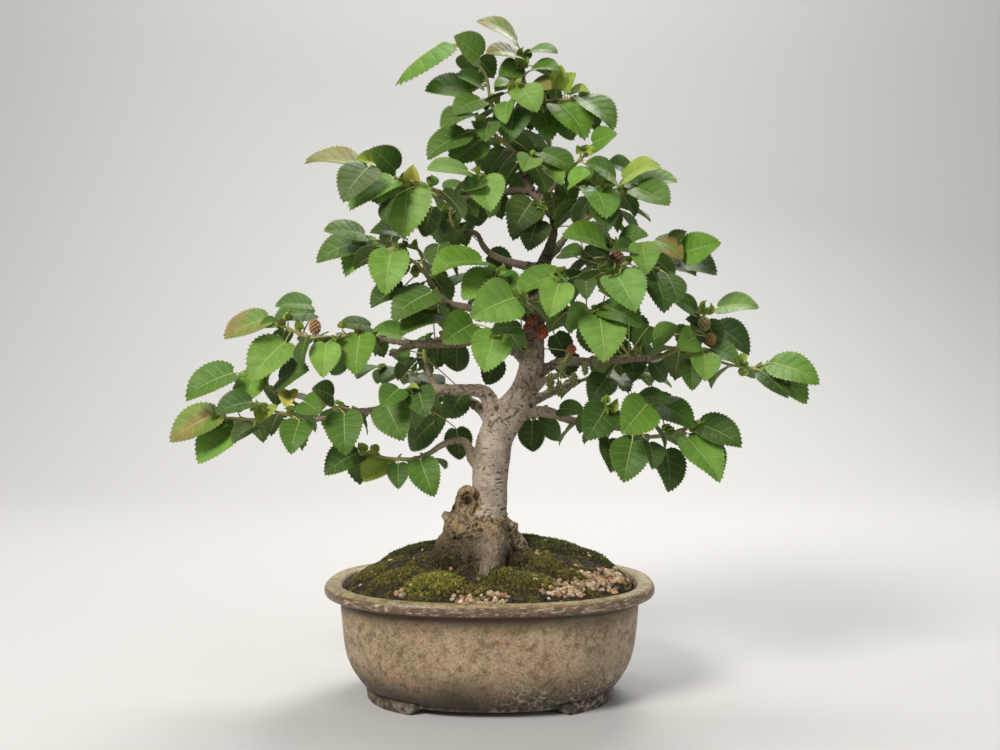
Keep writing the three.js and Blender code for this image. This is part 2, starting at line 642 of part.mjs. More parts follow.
function footSolid(signX, signY) {
  const directions = [];
  for (let i = 0; i <= FOOT.steps; i++) {
    const angle = THREE.MathUtils.degToRad(FOOT.from + ((FOOT.to - FOOT.from) * i) / FOOT.steps);
    directions.push([signX * Math.cos(angle), signY * Math.sin(angle)]);
  }
  const outer = directions.map(([x, y]) => planPoint(FOOT.outer, x, y));
  const inner = directions.map(([x, y]) => planPoint(FOOT.inner, x, y)).reverse();
  const shape = new THREE.Shape([...outer, ...inner].map(([x, y]) => new THREE.Vector2(x, y)));
  return solidOf(new THREE.ExtrudeGeometry(shape, { depth: FOOT.height, bevelEnabled: false }));
}

function makeFeet() {
  return [[1, 1], [-1, 1], [1, -1], [-1, -1]].map(([signX, signY]) => footSolid(signX, signY));
}

// The soil mounds up from the rim and is highest behind the trunk. It is inset from the pot's wall.
const SOIL_INSET = GAP / POT_WIDTH_SHARE + 0.1;
const SOIL = { halfLength: 126.5, mound: 0.75, lean: [0.1, 0.6] };
const SOIL_LUMP = { height: 1.6, x: 13, y: 11, shift: 1.3 };
const SOIL_RINGS = [0.85, 0.66, 0.44, 0.22];

function groundHeight(x, y) {
  const across = x / SOIL.halfLength;
  const deep = y / (SOIL.halfLength * POT_WIDTH_SHARE);
  const powers = Math.abs(across) ** PLAN_POWER + Math.abs(deep) ** PLAN_POWER;
  const share = Math.min(1, powers ** (1 / PLAN_POWER));
  const dome = (1 - share * share) ** SOIL.mound;
  const lumps = SOIL_LUMP.height * Math.sin(x / SOIL_LUMP.x + SOIL_LUMP.shift) * Math.sin(y / SOIL_LUMP.y);
  return SOIL_EDGE + dome * (SOIL_PEAK * (1 + SOIL.lean[0] * across + SOIL.lean[1] * deep) + lumps);
}

// A block of space round each screen, so that the soil doesn't touch it
function screenSpace(x) {
  const width = 2 * (SCREEN.half + SCREEN.clearance);
  const top = FLOOR_TOP + SCREEN.thickness + 2 * GAP;
  return boxSolid([width, width, 2 * (top - FLOOR_TOP)], [x, 0, FLOOR_TOP]);
}

function makeSoil(woodSpace) {
  const side = INNER_WALL.slice(0, -1).map(([halfLength, z]) => [halfLength - SOIL_INSET, z + GAP]);
  const rings = [1, ...SOIL_RINGS].map((share) => [SOIL.halfLength * share, SOIL_EDGE]);
  const profile = [[0, FLOOR_TOP + GAP], ...side, ...rings, [0, SOIL_EDGE]];
  const mass = planSolid(profile, (x, y, z) => (z < SOIL_EDGE ? z : groundHeight(x, y)));
  const spaces = [woodSpace, screenSpace(-DRAIN_HOLE.x), screenSpace(DRAIN_HOLE.x)];
  return largestBody(mass.subtract(wasm.Manifold.union(spaces)));
}

// A plastic mesh over each drain hole, under the soil
const SCREEN = { half: DRAIN_HOLE.radius + 3, thickness: 1, opening: 9, pitch: 12, clearance: 0.5 };

function boxSolid(sizes, centre) {
  const box = new THREE.BoxGeometry(...sizes);
  box.translate(...centre);
  return solidOf(box);
}

function makeScreen(x) {
  const z = FLOOR_TOP + GAP + SCREEN.thickness / 2;
  const sheet = boxSolid([2 * SCREEN.half, 2 * SCREEN.half, SCREEN.thickness], [x, 0, z]);
  const openings = [];
  for (const i of [-0.5, 0.5]) {
    for (const j of [-0.5, 0.5]) {
      const centre = [x + i * SCREEN.pitch, j * SCREEN.pitch, z];
      openings.push(boxSolid([SCREEN.opening, SCREEN.opening, 4 * SCREEN.thickness], centre));
    }
  }
  return sheet.subtract(wasm.Manifold.union(openings));
}

// Half of a blade's outline from the notch to the tip: [share of length, share of half width]. It has the
// lobe beside the notch, the widest tooth, the cut between two teeth, and the upper tooth.
const BLADE_EDGE = [[-0.08, 0.5], [0.2, 1], [0.38, 0.74], [0.56, 0.7]];
const BLADE_MIDDLE = 0.42;

// A point of a blade: u along the midrib, v across it. The blade arches along its length, and its halves
// rise a little from the midrib.
function bladePoint(leaf, u, v, lift) {
  const half = (leaf.length * BLADE_WIDTH_SHARE) / 2;
  const rise = leaf.length * leaf.arch * 4 * u * (1 - u) + leaf.fold * Math.abs(v) * half + lift;
  return leaf.base
    .clone()
    .addScaledVector(leaf.along, u * leaf.length)
    .addScaledVector(leaf.side, v * half)
    .addScaledVector(leaf.normal, rise);
}

// The turn that takes one direction to another, used on a direction square to the first
function turned(direction, from, to) {
  return direction.clone().applyQuaternion(new THREE.Quaternion().setFromUnitVectors(from, to));
}

// One leaf with its stalk as a closed solid. Each face of the blade is a fan round its middle. The stalk
// has three sides: two corners run into the notch's upper corners and the keel into its lower one.
function leafSolid(leaf) {
  const width = STALK.halfWidth / ((leaf.length * BLADE_WIDTH_SHARE) / 2);
  const half = BLADE_THICKNESS / 2;
  const leftEdge = BLADE_EDGE.map(([u, v]) => [u, -v]);
  const rightEdge = [...BLADE_EDGE].reverse();
  const edge = [...leftEdge, [1, 0], ...rightEdge];
  const upper = [[0, -width], ...edge, [0, width], [BLADE_MIDDLE, 0]];
  const lower = [...edge, [BLADE_MIDDLE, 0]];
  const points = [
    ...upper.map(([u, v]) => bladePoint(leaf, u, v, half)),
    ...lower.map(([u, v]) => bladePoint(leaf, u, v, -half)),
    bladePoint(leaf, 0, 0, -STALK.keel),
  ];
  const count = edge.length;
  const upperMiddle = count + 2;
  const lowerStart = upperMiddle + 1;
  const lowerMiddle = lowerStart + count;
  const keel = lowerMiddle + 1;
  const triangles = [];
  for (let i = 0; i <= count; i++) triangles.push([upperMiddle, i + 1, i]);
  triangles.push([upperMiddle, 0, count + 1]);
  for (let i = 0; i + 1 < count; i++) {
    const [a, b] = [lowerStart + i, lowerStart + i + 1];
    triangles.push([lowerMiddle, a, b], [i + 1, i + 2, b], [i + 1, b, a]);
  }
  const [firstLow, lastLow] = [lowerStart, lowerStart + count - 1];
  triangles.push([lowerMiddle, keel, firstLow], [lowerMiddle, lastLow, keel]);
  triangles.push([0, 1, firstLow], [0, firstLow, keel]);
  triangles.push([count, count + 1, lastLow], [count + 1, keel, lastLow]);
  const toward = leaf.base.clone().sub(leaf.foot).normalize();
  const side = turned(leaf.side, leaf.along, toward);
  const normal = turned(leaf.normal, leaf.along, toward);
  const first = points.length;
  for (const [across, up] of [[-STALK.halfWidth, half], [STALK.halfWidth, half], [0, -STALK.keel]]) {
    const corner = leaf.foot.clone().addScaledVector(side, across * STALK.rootShare);
    points.push(corner.addScaledVector(normal, up * STALK.rootShare));
  }
  const notch = [0, count + 1, keel];
  for (let i = 0; i < 3; i++) {
    const j = (i + 1) % 3;
    triangles.push([first + i, first + j, notch[j]], [first + i, notch[j], notch[i]]);
  }
  triangles.push([first, first + 2, first + 1]);
  const solid = solidFrom(points, triangles);
  if (solid.volume() > 0) return solid;
  return solidFrom(points, triangles.map(([a, b, c]) => [a, c, b]));
}

// The spot on a path nearest to a point, how far away it is, and how far along the path
function nearestOn(path, point) {
  let best = { spot: path[0], away: Infinity, along: 0 };
  let walked = 0;
  for (let i = 0; i + 1 < path.length; i++) {
    const line = new THREE.Line3(path[i], path[i + 1]);
    const spot = line.closestPointToPoint(point, true, new THREE.Vector3());
    const away = spot.distanceTo(point);
    if (away < best.away) best = { spot, away, along: walked + spot.distanceTo(path[i]) };
    walked += line.distance();
  }
  return best;
}

function lengthOf(path) {
  return path.slice(1).reduce((sum, point, i) => sum + point.distanceTo(path[i]), 0);
}

function spotAlong(path, distance) {
  let left = distance;
  for (let i = 0; i + 1 < path.length; i++) {
    const stretch = path[i].distanceTo(path[i + 1]);
    if (left <= stretch || i + 2 === path.length) return path[i].clone().lerp(path[i + 1], left / stretch);
    left -= stretch;
  }
}

function nearestWood(point) {
  const found = Object.values(BRANCHES).map((rows) => nearestOn(seenPoints(rows), point));
  return found.reduce((best, other) => (other.away < best.away ? other : best));
}

// A blade's directions from its ends, its turn and its bend
function leafFrom(base, tip, turn, bend, foot) {
  const along = tip.clone().sub(base).normalize();
  const toEye = new THREE.Vector3(0, -1, 0);
  toEye.addScaledVector(along, -toEye.dot(along)).normalize();
  const up = along.clone().cross(toEye);
  if (up.z < 0) up.negate();
  const angle = THREE.MathUtils.degToRad(turn);
  const normal = toEye.multiplyScalar(Math.cos(angle)).addScaledVector(up, Math.sin(angle));
  const side = along.clone().cross(normal);
  const length = base.distanceTo(tip);
  return { base, tip, along, normal, side, length, foot: foot.spot, footAlong: foot.along, ...bend };
}

// What a leaf keeps clear of. Its outline here is a little larger than the blade: its corners as a share
// of length and half width, with a fan of triangles round its middle, and its stalk. rod is the clearance
// to wood, twigs and berries, and pin is half the clearance to another blade. reach is how far a blade
// goes from its middle, as a share of its length.
const CLEAR = { corners: [[-0.14, 0.62], [0.2, 1.2], [1.12, 0]], pin: 1.3, rod: 1, stalk: 1.9, reach: 0.75 };

function outlineOf(leaf) {
  const at = (u, v) => bladePoint(leaf, u, v, 0);
  const [lobe, widest, tip] = CLEAR.corners;
  const left = [at(lobe[0], -lobe[1]), at(widest[0], -widest[1])];
  const ring = [at(0, 0), ...left, at(...tip), at(...widest), at(...lobe)];
  const middle = at(BLADE_MIDDLE, 0);
  const faces = ring.map((corner, i) => [middle, corner, ring[(i + 1) % ring.length]]);
  const sunk = Math.min(0.5, TWIG_RADIUS.root / leaf.base.distanceTo(leaf.foot));
  const stalk = new THREE.Line3(leaf.foot.clone().lerp(leaf.base, sunk), leaf.base);
  const edges = ring.map((corner, i) => new THREE.Line3(corner, ring[(i + 1) % ring.length]));
  edges.push(new THREE.Line3(ring[0], middle), new THREE.Line3(middle, ring[3]));
  const marks = [...ring, middle];
  for (const [u, v] of BLADE_EDGE) marks.push(at(u, v), at(u, -v));
  for (const [a, b, c] of faces) marks.push(a.clone().add(b).add(c).divideScalar(3));
  const lift = leaf.normal.clone().multiplyScalar(CLEAR.pin);
  const pins = marks.map((mark) => new THREE.Line3(mark.clone().sub(lift), mark.clone().add(lift)));
  const reach = Math.max(leaf.length * CLEAR.reach, middle.distanceTo(leaf.foot));
  return { faces, edges, stalk, lines: [...edges, ...pins, stalk], centre: middle, reach };
}

function crosses(line, [a, b, c]) {
  const way = line.end.clone().sub(line.start);
  const ab = b.clone().sub(a);
  const ac = c.clone().sub(a);
  const square = way.clone().cross(ac);
  const scale = ab.dot(square);
  if (Math.abs(scale) < 1e-9) return false;
  const fromA = line.start.clone().sub(a);
  const u = fromA.dot(square) / scale;
  if (u < 0 || u > 1) return false;
  const turnedBack = fromA.cross(ab);
  const v = way.dot(turnedBack) / scale;
  if (v < 0 || u + v > 1) return false;
  const t = ac.dot(turnedBack) / scale;
  return t >= 0 && t <= 1;
}

function gapBetween(one, other) {
  return Math.sqrt(one.distanceSqToLine3(other));
}

function leavesMeet(one, other) {
  if (one.centre.distanceTo(other.centre) > one.reach + other.reach) return false;
  if (gapBetween(one.stalk, other.stalk) < CLEAR.stalk) return true;
  return (
    one.lines.some((line) => other.faces.some((face) => crosses(line, face))) ||
    other.lines.some((line) => one.faces.some((face) => crosses(line, face)))
  );
}

function leafMeetsRod(outline, rod) {
  const near = rod.line.closestPointToPoint(outline.centre, true, new THREE.Vector3());
  const clearance = rod.radius + CLEAR.rod;
  if (near.distanceTo(outline.centre) > outline.reach + clearance) return false;
  if (outline.faces.some((face) => crosses(rod.line, face))) return true;
  return [...outline.edges, outline.stalk].some((edge) => gapBetween(edge, rod.line) < clearance);
}

// The stretches between a path's points, as rods. spray names the spray that a rod belongs to.
function rodsOf(points, radii, spray) {
  return points.slice(1).map((point, i) => ({
    line: new THREE.Line3(points[i], point),
    radius: Math.max(radii[i], radii[i + 1]),
    spray,
  }));
}

function taper(count) {
  const fall = (TWIG_RADIUS.end - TWIG_RADIUS.root) / (count - 1);
  return Array.from({ length: count }, (_, i) => TWIG_RADIUS.root + fall * i);
}

// Each twig starts on the axis of the branch that carries it. Its leaves' stalks stand between where it
// is clear of the wood and a little before its end.
const STALK_SPACING = 4;
const TWIG_END = 1.8;

function twigOf(rows) {
  const path = seenPoints(rows);
  path[0] = nearestWood(path[0]).spot;
  let first = 0;
  while (insideWood(spotAlong(path, first), CLEAR.stalk)) first += 0.5;
  return { path, first, last: lengthOf(path) - TWIG_END, taken: [] };
}

// The free place on the twig nearest to the leaf's base. Where the twig is crowded, stalks stand closer.
function footFor(twig, base) {
  const wanted = THREE.MathUtils.clamp(nearestOn(twig.path, base).along, twig.first, twig.last);
  const isFreeAt = (along, spacing) => {
    if (along < twig.first || along > twig.last) return false;
    return twig.taken.every((other) => Math.abs(other - along) > spacing);
  };
  for (let spacing = STALK_SPACING; ; spacing /= 2) {
    for (let shift = 0; shift < twig.last; shift += 0.5) {
      const along = [wanted - shift, wanted + shift].find((place) => isFreeAt(place, spacing));
      if (along !== undefined) return { along, spot: spotAlong(twig.path, along) };
    }
  }
}

const woodRods = Object.values(BRANCHES).flatMap((rows) => {
  const radii = rows.map((row) => row[3]);
  return rodsOf(seenPoints(rows), radii);
});

function insideWood(point, margin) {
  const touches = (rod) => {
    const near = rod.line.closestPointToPoint(point, true, new THREE.Vector3());
    return near.distanceTo(point) < rod.radius + margin;
  };
  return woodRods.some(touches);
}

const twigs = {};
for (const [name, spray] of Object.entries({ ...SPRAYS, ...FAR_SPRAYS })) twigs[name] = twigOf(spray.twig);
const twigRods = Object.entries(twigs).flatMap(([name, { path }]) => {
  return rodsOf(path, taper(path.length), name);
});

// A berry hangs from the nearest wood or twig
function fruitOf([x, z, depth, half, wide]) {
  const centre = seen(x, z, depth);
  const spots = Object.values(twigs).map(({ path }) => nearestOn(path, centre));
  spots.push(nearestWood(centre));
  const carrier = spots.reduce((best, other) => (other.away < best.away ? other : best));
  return { centre, half, wide, root: carrier.spot };
}

function fruitRods({ centre, half, wide, root }) {
  const rise = new THREE.Vector3(0, 0, half - wide);
  const body = [centre.clone().sub(rise), centre.clone().add(rise)];
  return [...rodsOf(body, [wide, wide]), ...rodsOf([centre, root], [FRUIT_STALK.berryEnd, FRUIT_STALK.root])];
}

const fruits = Object.fromEntries(Object.entries(FRUITS).map(([name, row]) => [name, fruitOf(row)]));
const rods = [...woodRods, ...twigRods, ...Object.values(fruits).flatMap(fruitRods)];
const placed = []; // each has its spray's name, its leaf and its outline

function isFree(spray, outline) {
  if (placed.some((other) => leavesMeet(outline, other.outline))) return false;
  return !rods.some((rod) => rod.spray !== spray && leafMeetsRod(outline, rod));
}

const TRIES = 31;

// Tries a leaf in its first place and then in others, and keeps the first that crosses nothing
function settle(spray, twig, candidate) {
  for (let k = 0; k < TRIES; k++) {
    const leaf = candidate(k);
    const outline = outlineOf(leaf);
    if (isFree(spray, outline)) {
      placed.push({ spray, leaf, outline });
      twig.taken.push(leaf.footAlong);
      return true;
    }
  }
  return false;
}

// 0, then one step nearer the eye, one step behind, two steps nearer and so on
function steps(k, size) {
  return (k % 2 ? -1 : 1) * Math.ceil(k / 2) * size;
}

const random = seededRandom(SEED);

// A leaf that the eye sees keeps its outline there, and slides along the line of sight until it crosses
// nothing. Its tip leans towards the eye, or away from it far behind the trunk.
const SLIDE = 4;
const START = { nearest: -10, spread: 14 }; // the first depth, from the twig beside it
const LEANS_AWAY_FROM = 20; // the depth behind which tips lean away
const BEND = { arch: 0.03, archSpread: 0.05, fold: 0.1, foldSpread: 0.22 };

function placeSeenLeaf(spray, twig, [bx, bz, tx, tz, length, turn]) {
  const bend = { arch: BEND.arch + BEND.archSpread * random(), fold: BEND.fold + BEND.foldSpread * random() };
  const beside = nearestOn(twig.path, seen(bx, bz, twig.path.at(-1).y)).spot.y;
  const start = beside + START.nearest + START.spread * random();
  const toward = start < LEANS_AWAY_FROM ? -1 : 1;
  return settle(spray, twig, (k) => {
    const depth = start + steps(k, SLIDE);
    const base = seen(bx, bz, depth);
    const flat = seen(tx, tz, depth).distanceTo(base);
    const lean = Math.sqrt(Math.max(0, length * length - flat * flat));
    const tip = seen(tx, tz, depth + toward * lean);
    return leafFrom(base, tip, turn, bend, footFor(twig, base));
  });
}

// A leaf by rule: it leaves the twig to one side and the next to the other, and each hangs a little
const FAR_LEAF = {
  shortest: 32, spread: 12, stalk: 13, firstShare: 0.2,
  swing: 40, swingSpread: 0.75, nudge: 14,
  rise: 5, sink: 3, sinks: 3,
  droop: 0.25, droopSpread: 2,
  arch: 0.04, archSpread: 0.05, fold: 0.1, foldSpread: 0.2,
};

function placeFarLeaf(spray, twig, share, number) {
  const { arch, archSpread, fold, foldSpread } = FAR_LEAF;
  const bend = { arch: arch + archSpread * random(), fold: fold + foldSpread * random() };
  const length = FAR_LEAF.shortest + FAR_LEAF.spread * random();
  const swing = (number % 2 ? 1 : -1) * FAR_LEAF.swing * (1 + FAR_LEAF.swingSpread * random());
  const droop = FAR_LEAF.droop * (1 + FAR_LEAF.droopSpread * random());
  const along = twig.first + share * (twig.last - twig.first);
  const foot = { along, spot: spotAlong(twig.path, along) };
  const outward = twig.path.at(-1).clone().sub(twig.path[0]).setZ(0).normalize();
  const upright = new THREE.Vector3(0, 0, 1);
  return settle(spray, twig, (k) => {
    const angle = THREE.MathUtils.degToRad(swing + steps(k, FAR_LEAF.nudge));
    const way = outward.clone().applyAxisAngle(upright, angle);
    const base = foot.spot.clone().addScaledVector(way, FAR_LEAF.stalk);
    base.z += FAR_LEAF.rise - FAR_LEAF.sink * (k % FAR_LEAF.sinks);
    const fall = way.clone().setZ(-droop).normalize();
    const leaf = leafFrom(base, base.clone().addScaledVector(fall, length), 0, bend, foot);
    const normal = upright.clone().addScaledVector(fall, -fall.z).normalize();
    return { ...leaf, normal, side: leaf.along.clone().cross(normal) };
  });
}

const unplaced = [];
for (const [name, spray] of Object.entries(SPRAYS)) {
  spray.leaves.forEach((row, i) => {
    if (!placeSeenLeaf(name, twigs[name], row)) unplaced.push(`${name} ${i}`);
  });
}
for (const [name, spray] of Object.entries(FAR_SPRAYS)) {
  for (let i = 0; i < spray.leaves; i++) {
    const share = FAR_LEAF.firstShare + ((1 - FAR_LEAF.firstShare) * i) / (spray.leaves - 1);
    if (!placeFarLeaf(name, twigs[name], share, i)) unplaced.push(`${name} ${i}`);
  }
}
console.log(`${placed.length} leaves, and no room for ${unplaced.length}: ${unplaced.join(", ")}`);

// A berry: an egg raised in drupelets, on a short stalk that reaches what carries it
function makeFruit({ centre, half, wide, root }) {
  const profile = [];
  for (let i = 0; i <= FRUIT_ROWS; i++) {
    const latitude = Math.PI * (i / FRUIT_ROWS - 0.5);
    profile.push(new THREE.Vector2(Math.cos(latitude), Math.sin(latitude)));
  }
  const egg = new THREE.LatheGeometry(profile, FRUIT_COLUMNS);
  egg.rotateX(Math.PI / 2);
  const place = egg.getAttribute("position");
  for (let i = 0; i < place.count; i++) {
    const [x, y, z] = [place.getX(i), place.getY(i), place.getZ(i)];
    const across = Math.cos((FRUIT_COLUMNS / 2) * Math.atan2(y, x));
    const along = Math.cos(FRUIT_ROWS * Math.asin(THREE.MathUtils.clamp(z, -1, 1)));
    const rise = 1 + (Math.abs(z) < 0.99 ? DRUPELET_HEIGHT * across * along : 0);
    place.setXYZ(i, x * wide * rise, y * wide * rise, z * half);
  }
  egg.translate(...centre.toArray());
  const { berryEnd, sides } = FRUIT_STALK;
  const stalk = taperedTube([centre, root], [berryEnd, FRUIT_STALK.root], sides);
  return wasm.Manifold.union([solidOf(egg), stalk]);
}

const SAVE_TOLERANCE = 0.16;
const WOOD_TOLERANCE = 0.24;
const CUT_GAP = GAP + 0.05;
const materials = {
  stoneware: new THREE.MeshStandardMaterial({ color: 0x9c8a6c, roughness: 0.45, metalness: 0 }),
  screen: new THREE.MeshStandardMaterial({ color: 0x2b2b2b, roughness: 0.7, metalness: 0 }),
  soil: new THREE.MeshStandardMaterial({ color: 0x4b4a25, roughness: 0.95, metalness: 0 }),
  bark: new THREE.MeshStandardMaterial({ color: 0x9b8a79, roughness: 0.85, metalness: 0 }),
  leaf: new THREE.MeshStandardMaterial({ color: 0x5e8f35, roughness: 0.5, metalness: 0 }),
  fruit: new THREE.MeshStandardMaterial({ color: 0xa8744f, roughness: 0.5, metalness: 0 }),
};
const model = new THREE.Group();

function add(name, solid, material, tolerance = SAVE_TOLERANCE) {
  const mesh = new THREE.Mesh(geometryOf(solid.simplify(tolerance)), material.clone());
  mesh.name = name;
  model.add(mesh);
}

const woodSpace = makeWood(CUT_GAP);
add("pot", makePot(), materials.stoneware);
add("drain_screen_left", makeScreen(-DRAIN_HOLE.x), materials.screen);
add("drain_screen_right", makeScreen(DRAIN_HOLE.x), materials.screen);
add("soil", makeSoil(woodSpace), materials.soil);
add("trunk", makeWood(0), materials.bark, WOOD_TOLERANCE);

const twigSpaces = Object.values(twigs).map(({ path }) => {
  const radii = taper(path.length).map((radius) => radius + CUT_GAP);
  return taperedTube(lengthened(path, CUT_GAP), radii, TWIG_SPACE_SIDES);
});
const carrierSpace = wasm.Manifold.union([woodSpace, ...twigSpaces]);
for (const [name, fruit] of Object.entries(fruits)) {
  add(name, largestBody(makeFruit(fruit).subtract(carrierSpace)), materials.fruit);
}

function makeSpray(name) {
  const { path } = twigs[name];
  const leaves = placed.filter((entry) => entry.spray === name).map((entry) => leafSolid(entry.leaf));
  const spray = wasm.Manifold.union([taperedTube(path, taper(path.length), TWIG_SIDES), ...leaves]);
  return largestBody(spray.subtract(woodSpace));
}

for (const name of Object.keys(twigs)) add("spray_" + name, makeSpray(name), materials.leaf);

export default model;
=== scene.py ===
# %% [markdown]
# # A mulberry bonsai
# This lesson dresses the plain solids of a potted mulberry tree as the real one looks. The solids fix
# where each branch and leaf is. Here each of them gets a finer piece in its place, with bark, veins,
# glaze, moss and grit. We model in millimetres and turn each finished piece into metres at the end.

# %% Load the plain solids
import math
import random

import bmesh
import bpy
import numpy as np
from mathutils import Matrix, Vector, kdtree, noise


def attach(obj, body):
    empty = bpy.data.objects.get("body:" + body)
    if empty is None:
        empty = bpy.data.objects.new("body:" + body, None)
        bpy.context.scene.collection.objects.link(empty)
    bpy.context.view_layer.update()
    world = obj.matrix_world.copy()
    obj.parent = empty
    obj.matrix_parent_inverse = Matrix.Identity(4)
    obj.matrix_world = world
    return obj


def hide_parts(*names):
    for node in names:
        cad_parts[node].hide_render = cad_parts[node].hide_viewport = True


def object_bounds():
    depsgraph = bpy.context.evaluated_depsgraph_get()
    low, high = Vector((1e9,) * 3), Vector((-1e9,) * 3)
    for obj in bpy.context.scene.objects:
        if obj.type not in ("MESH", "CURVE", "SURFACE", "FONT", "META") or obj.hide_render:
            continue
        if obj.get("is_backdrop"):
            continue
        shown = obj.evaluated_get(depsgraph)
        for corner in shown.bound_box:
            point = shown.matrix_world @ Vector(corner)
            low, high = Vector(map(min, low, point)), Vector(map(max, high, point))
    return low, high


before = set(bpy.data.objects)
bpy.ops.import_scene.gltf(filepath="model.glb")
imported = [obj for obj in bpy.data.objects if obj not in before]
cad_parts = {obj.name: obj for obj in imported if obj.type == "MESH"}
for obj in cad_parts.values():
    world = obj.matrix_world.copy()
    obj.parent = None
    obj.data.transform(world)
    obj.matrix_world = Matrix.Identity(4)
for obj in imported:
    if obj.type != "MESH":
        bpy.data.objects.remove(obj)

MM = 0.001
cad_low, cad_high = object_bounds()
print("solids:", len(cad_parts), "box in metres:", tuple(cad_low), tuple(cad_high))

# %% [markdown]
# ## Where the eye is
# The tree is laid out as it is seen from the front. A place is given by where the eye sees it on the
# upright plane through the pot's middle, and by its depth behind that plane. One small function turns
# that into a point in space, and the camera stands where the eye is, so the picture keeps its outline.
# The camera stays level and its picture is shifted a little, because that keeps upright lines upright.

# %% The eye and the camera
EYE = (9, 1026, 309)  # to the right of the middle, in front of it, and above the surface
SURFACE_SEEN_AT = 6  # seen heights count from 6 mm below the surface that the pot stands on
SENSOR_WIDTH, LENS = 36, 41.4
PICTURE_SHIFT = -0.03  # of the picture's width, downwards


def seen(x, z, depth):
    """The point that the eye sees at x and z on the upright plane, at a depth behind it"""
    k = (EYE[1] + depth) / EYE[1]
    return Vector((EYE[0] + (x - EYE[0]) * k, depth, EYE[2] + (z - SURFACE_SEEN_AT - EYE[2]) * k))


camera = bpy.data.objects.new("camera", bpy.data.cameras.new("camera"))
bpy.context.scene.collection.objects.link(camera)
camera.location = Vector((EYE[0], -EYE[1], EYE[2])) * MM
camera.rotation_euler = (math.radians(90), 0, 0)
camera.data.sensor_width = SENSOR_WIDTH
camera.data.lens = LENS
camera.data.shift_y = PICTURE_SHIFT
bpy.context.scene.camera = camera
print("camera at", tuple(camera.location))

# %% [markdown]
# ## A small studio
# A pale floor that curves up behind the tree gives no hard line at the back. A large soft light from
# the upper left shapes the trunk and the pot, a weaker one from the right opens the shadows, and one
# from behind and above lifts the leaf edges off the background. A fourth one lights the wall.

# %% Floor and lights
def points_in(made):
    """The points among the things that an operator made"""
    return [item for item in made if isinstance(item, bmesh.types.BMVert)]


def stage_floor():
    """Metres: a level floor, a quarter turn up at its back, and a wall, pulled 18 wide"""
    bm = bmesh.new()
    edge = [bm.verts.new((-9, y, 0)) for y in (-9, 1.3)]
    bm.edges.new(edge)
    swept = bmesh.ops.spin(
        bm, geom=[edge[1]], axis=(1, 0, 0), cent=(-9, 1.3, 1.2), dvec=(0, 0, 0), angle=math.radians(90),
        steps=16, use_merge=False, use_duplicate=False)["geom_last"]
    top = points_in(swept)[:1]
    bmesh.ops.translate(bm, vec=(0, 0, 5), verts=bmesh.ops.extrude_vert_indiv(bm, verts=top)["verts"])
    wide = bmesh.ops.extrude_edge_only(bm, edges=bm.edges[:])["geom"]
    bmesh.ops.translate(bm, vec=(18, 0, 0), verts=points_in(wide))
    bmesh.ops.recalc_face_normals(bm, faces=bm.faces)
    mesh = bpy.data.meshes.new("studio_floor")
    bm.to_mesh(mesh)
    bm.free()
    mesh.shade_smooth()
    floor = bpy.data.objects.new("studio_floor", mesh)
    bpy.context.scene.collection.objects.link(floor)
    paint = bpy.data.materials.new("studio_floor")
    paint.use_nodes = True
    shader = paint.node_tree.nodes["Principled BSDF"]
    shader.inputs["Base Color"].default_value = (0.53, 0.525, 0.515, 1)
    shader.inputs["Roughness"].default_value = 0.9
    mesh.materials.append(paint)
    floor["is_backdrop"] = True


def soft_light(name, place, size, power, colour, aim=(0, 0, 0.3)):
    data = bpy.data.lights.new(name, "AREA")
    data.shape = "DISK"
    data.size = size
    data.energy = power
    data.color = colour
    lamp = bpy.data.objects.new(name, data)
    lamp.location = place
    lamp.rotation_euler = (Vector(aim) - Vector(place)).to_track_quat("-Z", "Y").to_euler()
    bpy.context.scene.collection.objects.link(lamp)


stage_floor()
soft_light("key_light", (-1.3, -1.7, 1.9), 1.0, 74, (1.0, 0.97, 0.92))
soft_light("fill_light", (1.9, -1.5, 0.9), 1.4, 9, (0.93, 0.96, 1.0))
soft_light("back_light", (0.5, 1.3, 1.8), 0.9, 26, (1.0, 0.98, 0.94))
soft_light("wall_light", (0, 0.7, 2.6), 1.6, 46, (1.0, 0.99, 0.97), aim=(0, 2.5, 0.9))
world = bpy.data.worlds.new("studio_air")
world.use_nodes = True
world.node_tree.nodes["Background"].inputs["Color"].default_value = (0.8, 0.82, 0.84, 1)
world.node_tree.nodes["Background"].inputs["Strength"].default_value = 0.26
bpy.context.scene.world = world
bpy.context.scene.view_settings.view_transform = "Standard"
print("studio is lit")

# %% [markdown]
# ## Tools for every piece
# Each piece is shaped in a *bmesh*, Blender's mesh for scripts. When it is done we scale it from
# millimetres to metres, give it its material, and let it ride on the tree's one body. A chance that
# starts from the same seed each time keeps the leaves where they were on the last run.

# %% Finish a piece
def finish_piece(name, bm, paint, stands_for=()):
    bmesh.ops.scale(bm, vec=(MM, MM, MM), verts=bm.verts)
    mesh = bpy.data.meshes.new(name)
    bm.to_mesh(mesh)
    bm.free()
    finish_mesh(name, mesh, paint, stands_for)


def finish_mesh(name, mesh, paint, stands_for=(), smooth=True):
    """Makes a mesh in metres a piece of the tree. It takes the place of the solids that it stands for."""
    mesh.polygons.foreach_set("use_smooth", [smooth] * len(mesh.polygons))
    mesh.materials.clear()
    for each in paint if isinstance(paint, tuple) else (paint,):
        mesh.materials.append(each)
    piece = bpy.data.objects.new(name, mesh)
    bpy.context.scene.collection.objects.link(piece)
    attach(piece, "root")
    if stands_for:
        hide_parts(*stands_for)
    mesh.calc_loop_triangles()
    print(f"{name}: {len(mesh.loop_triangles)} triangles")


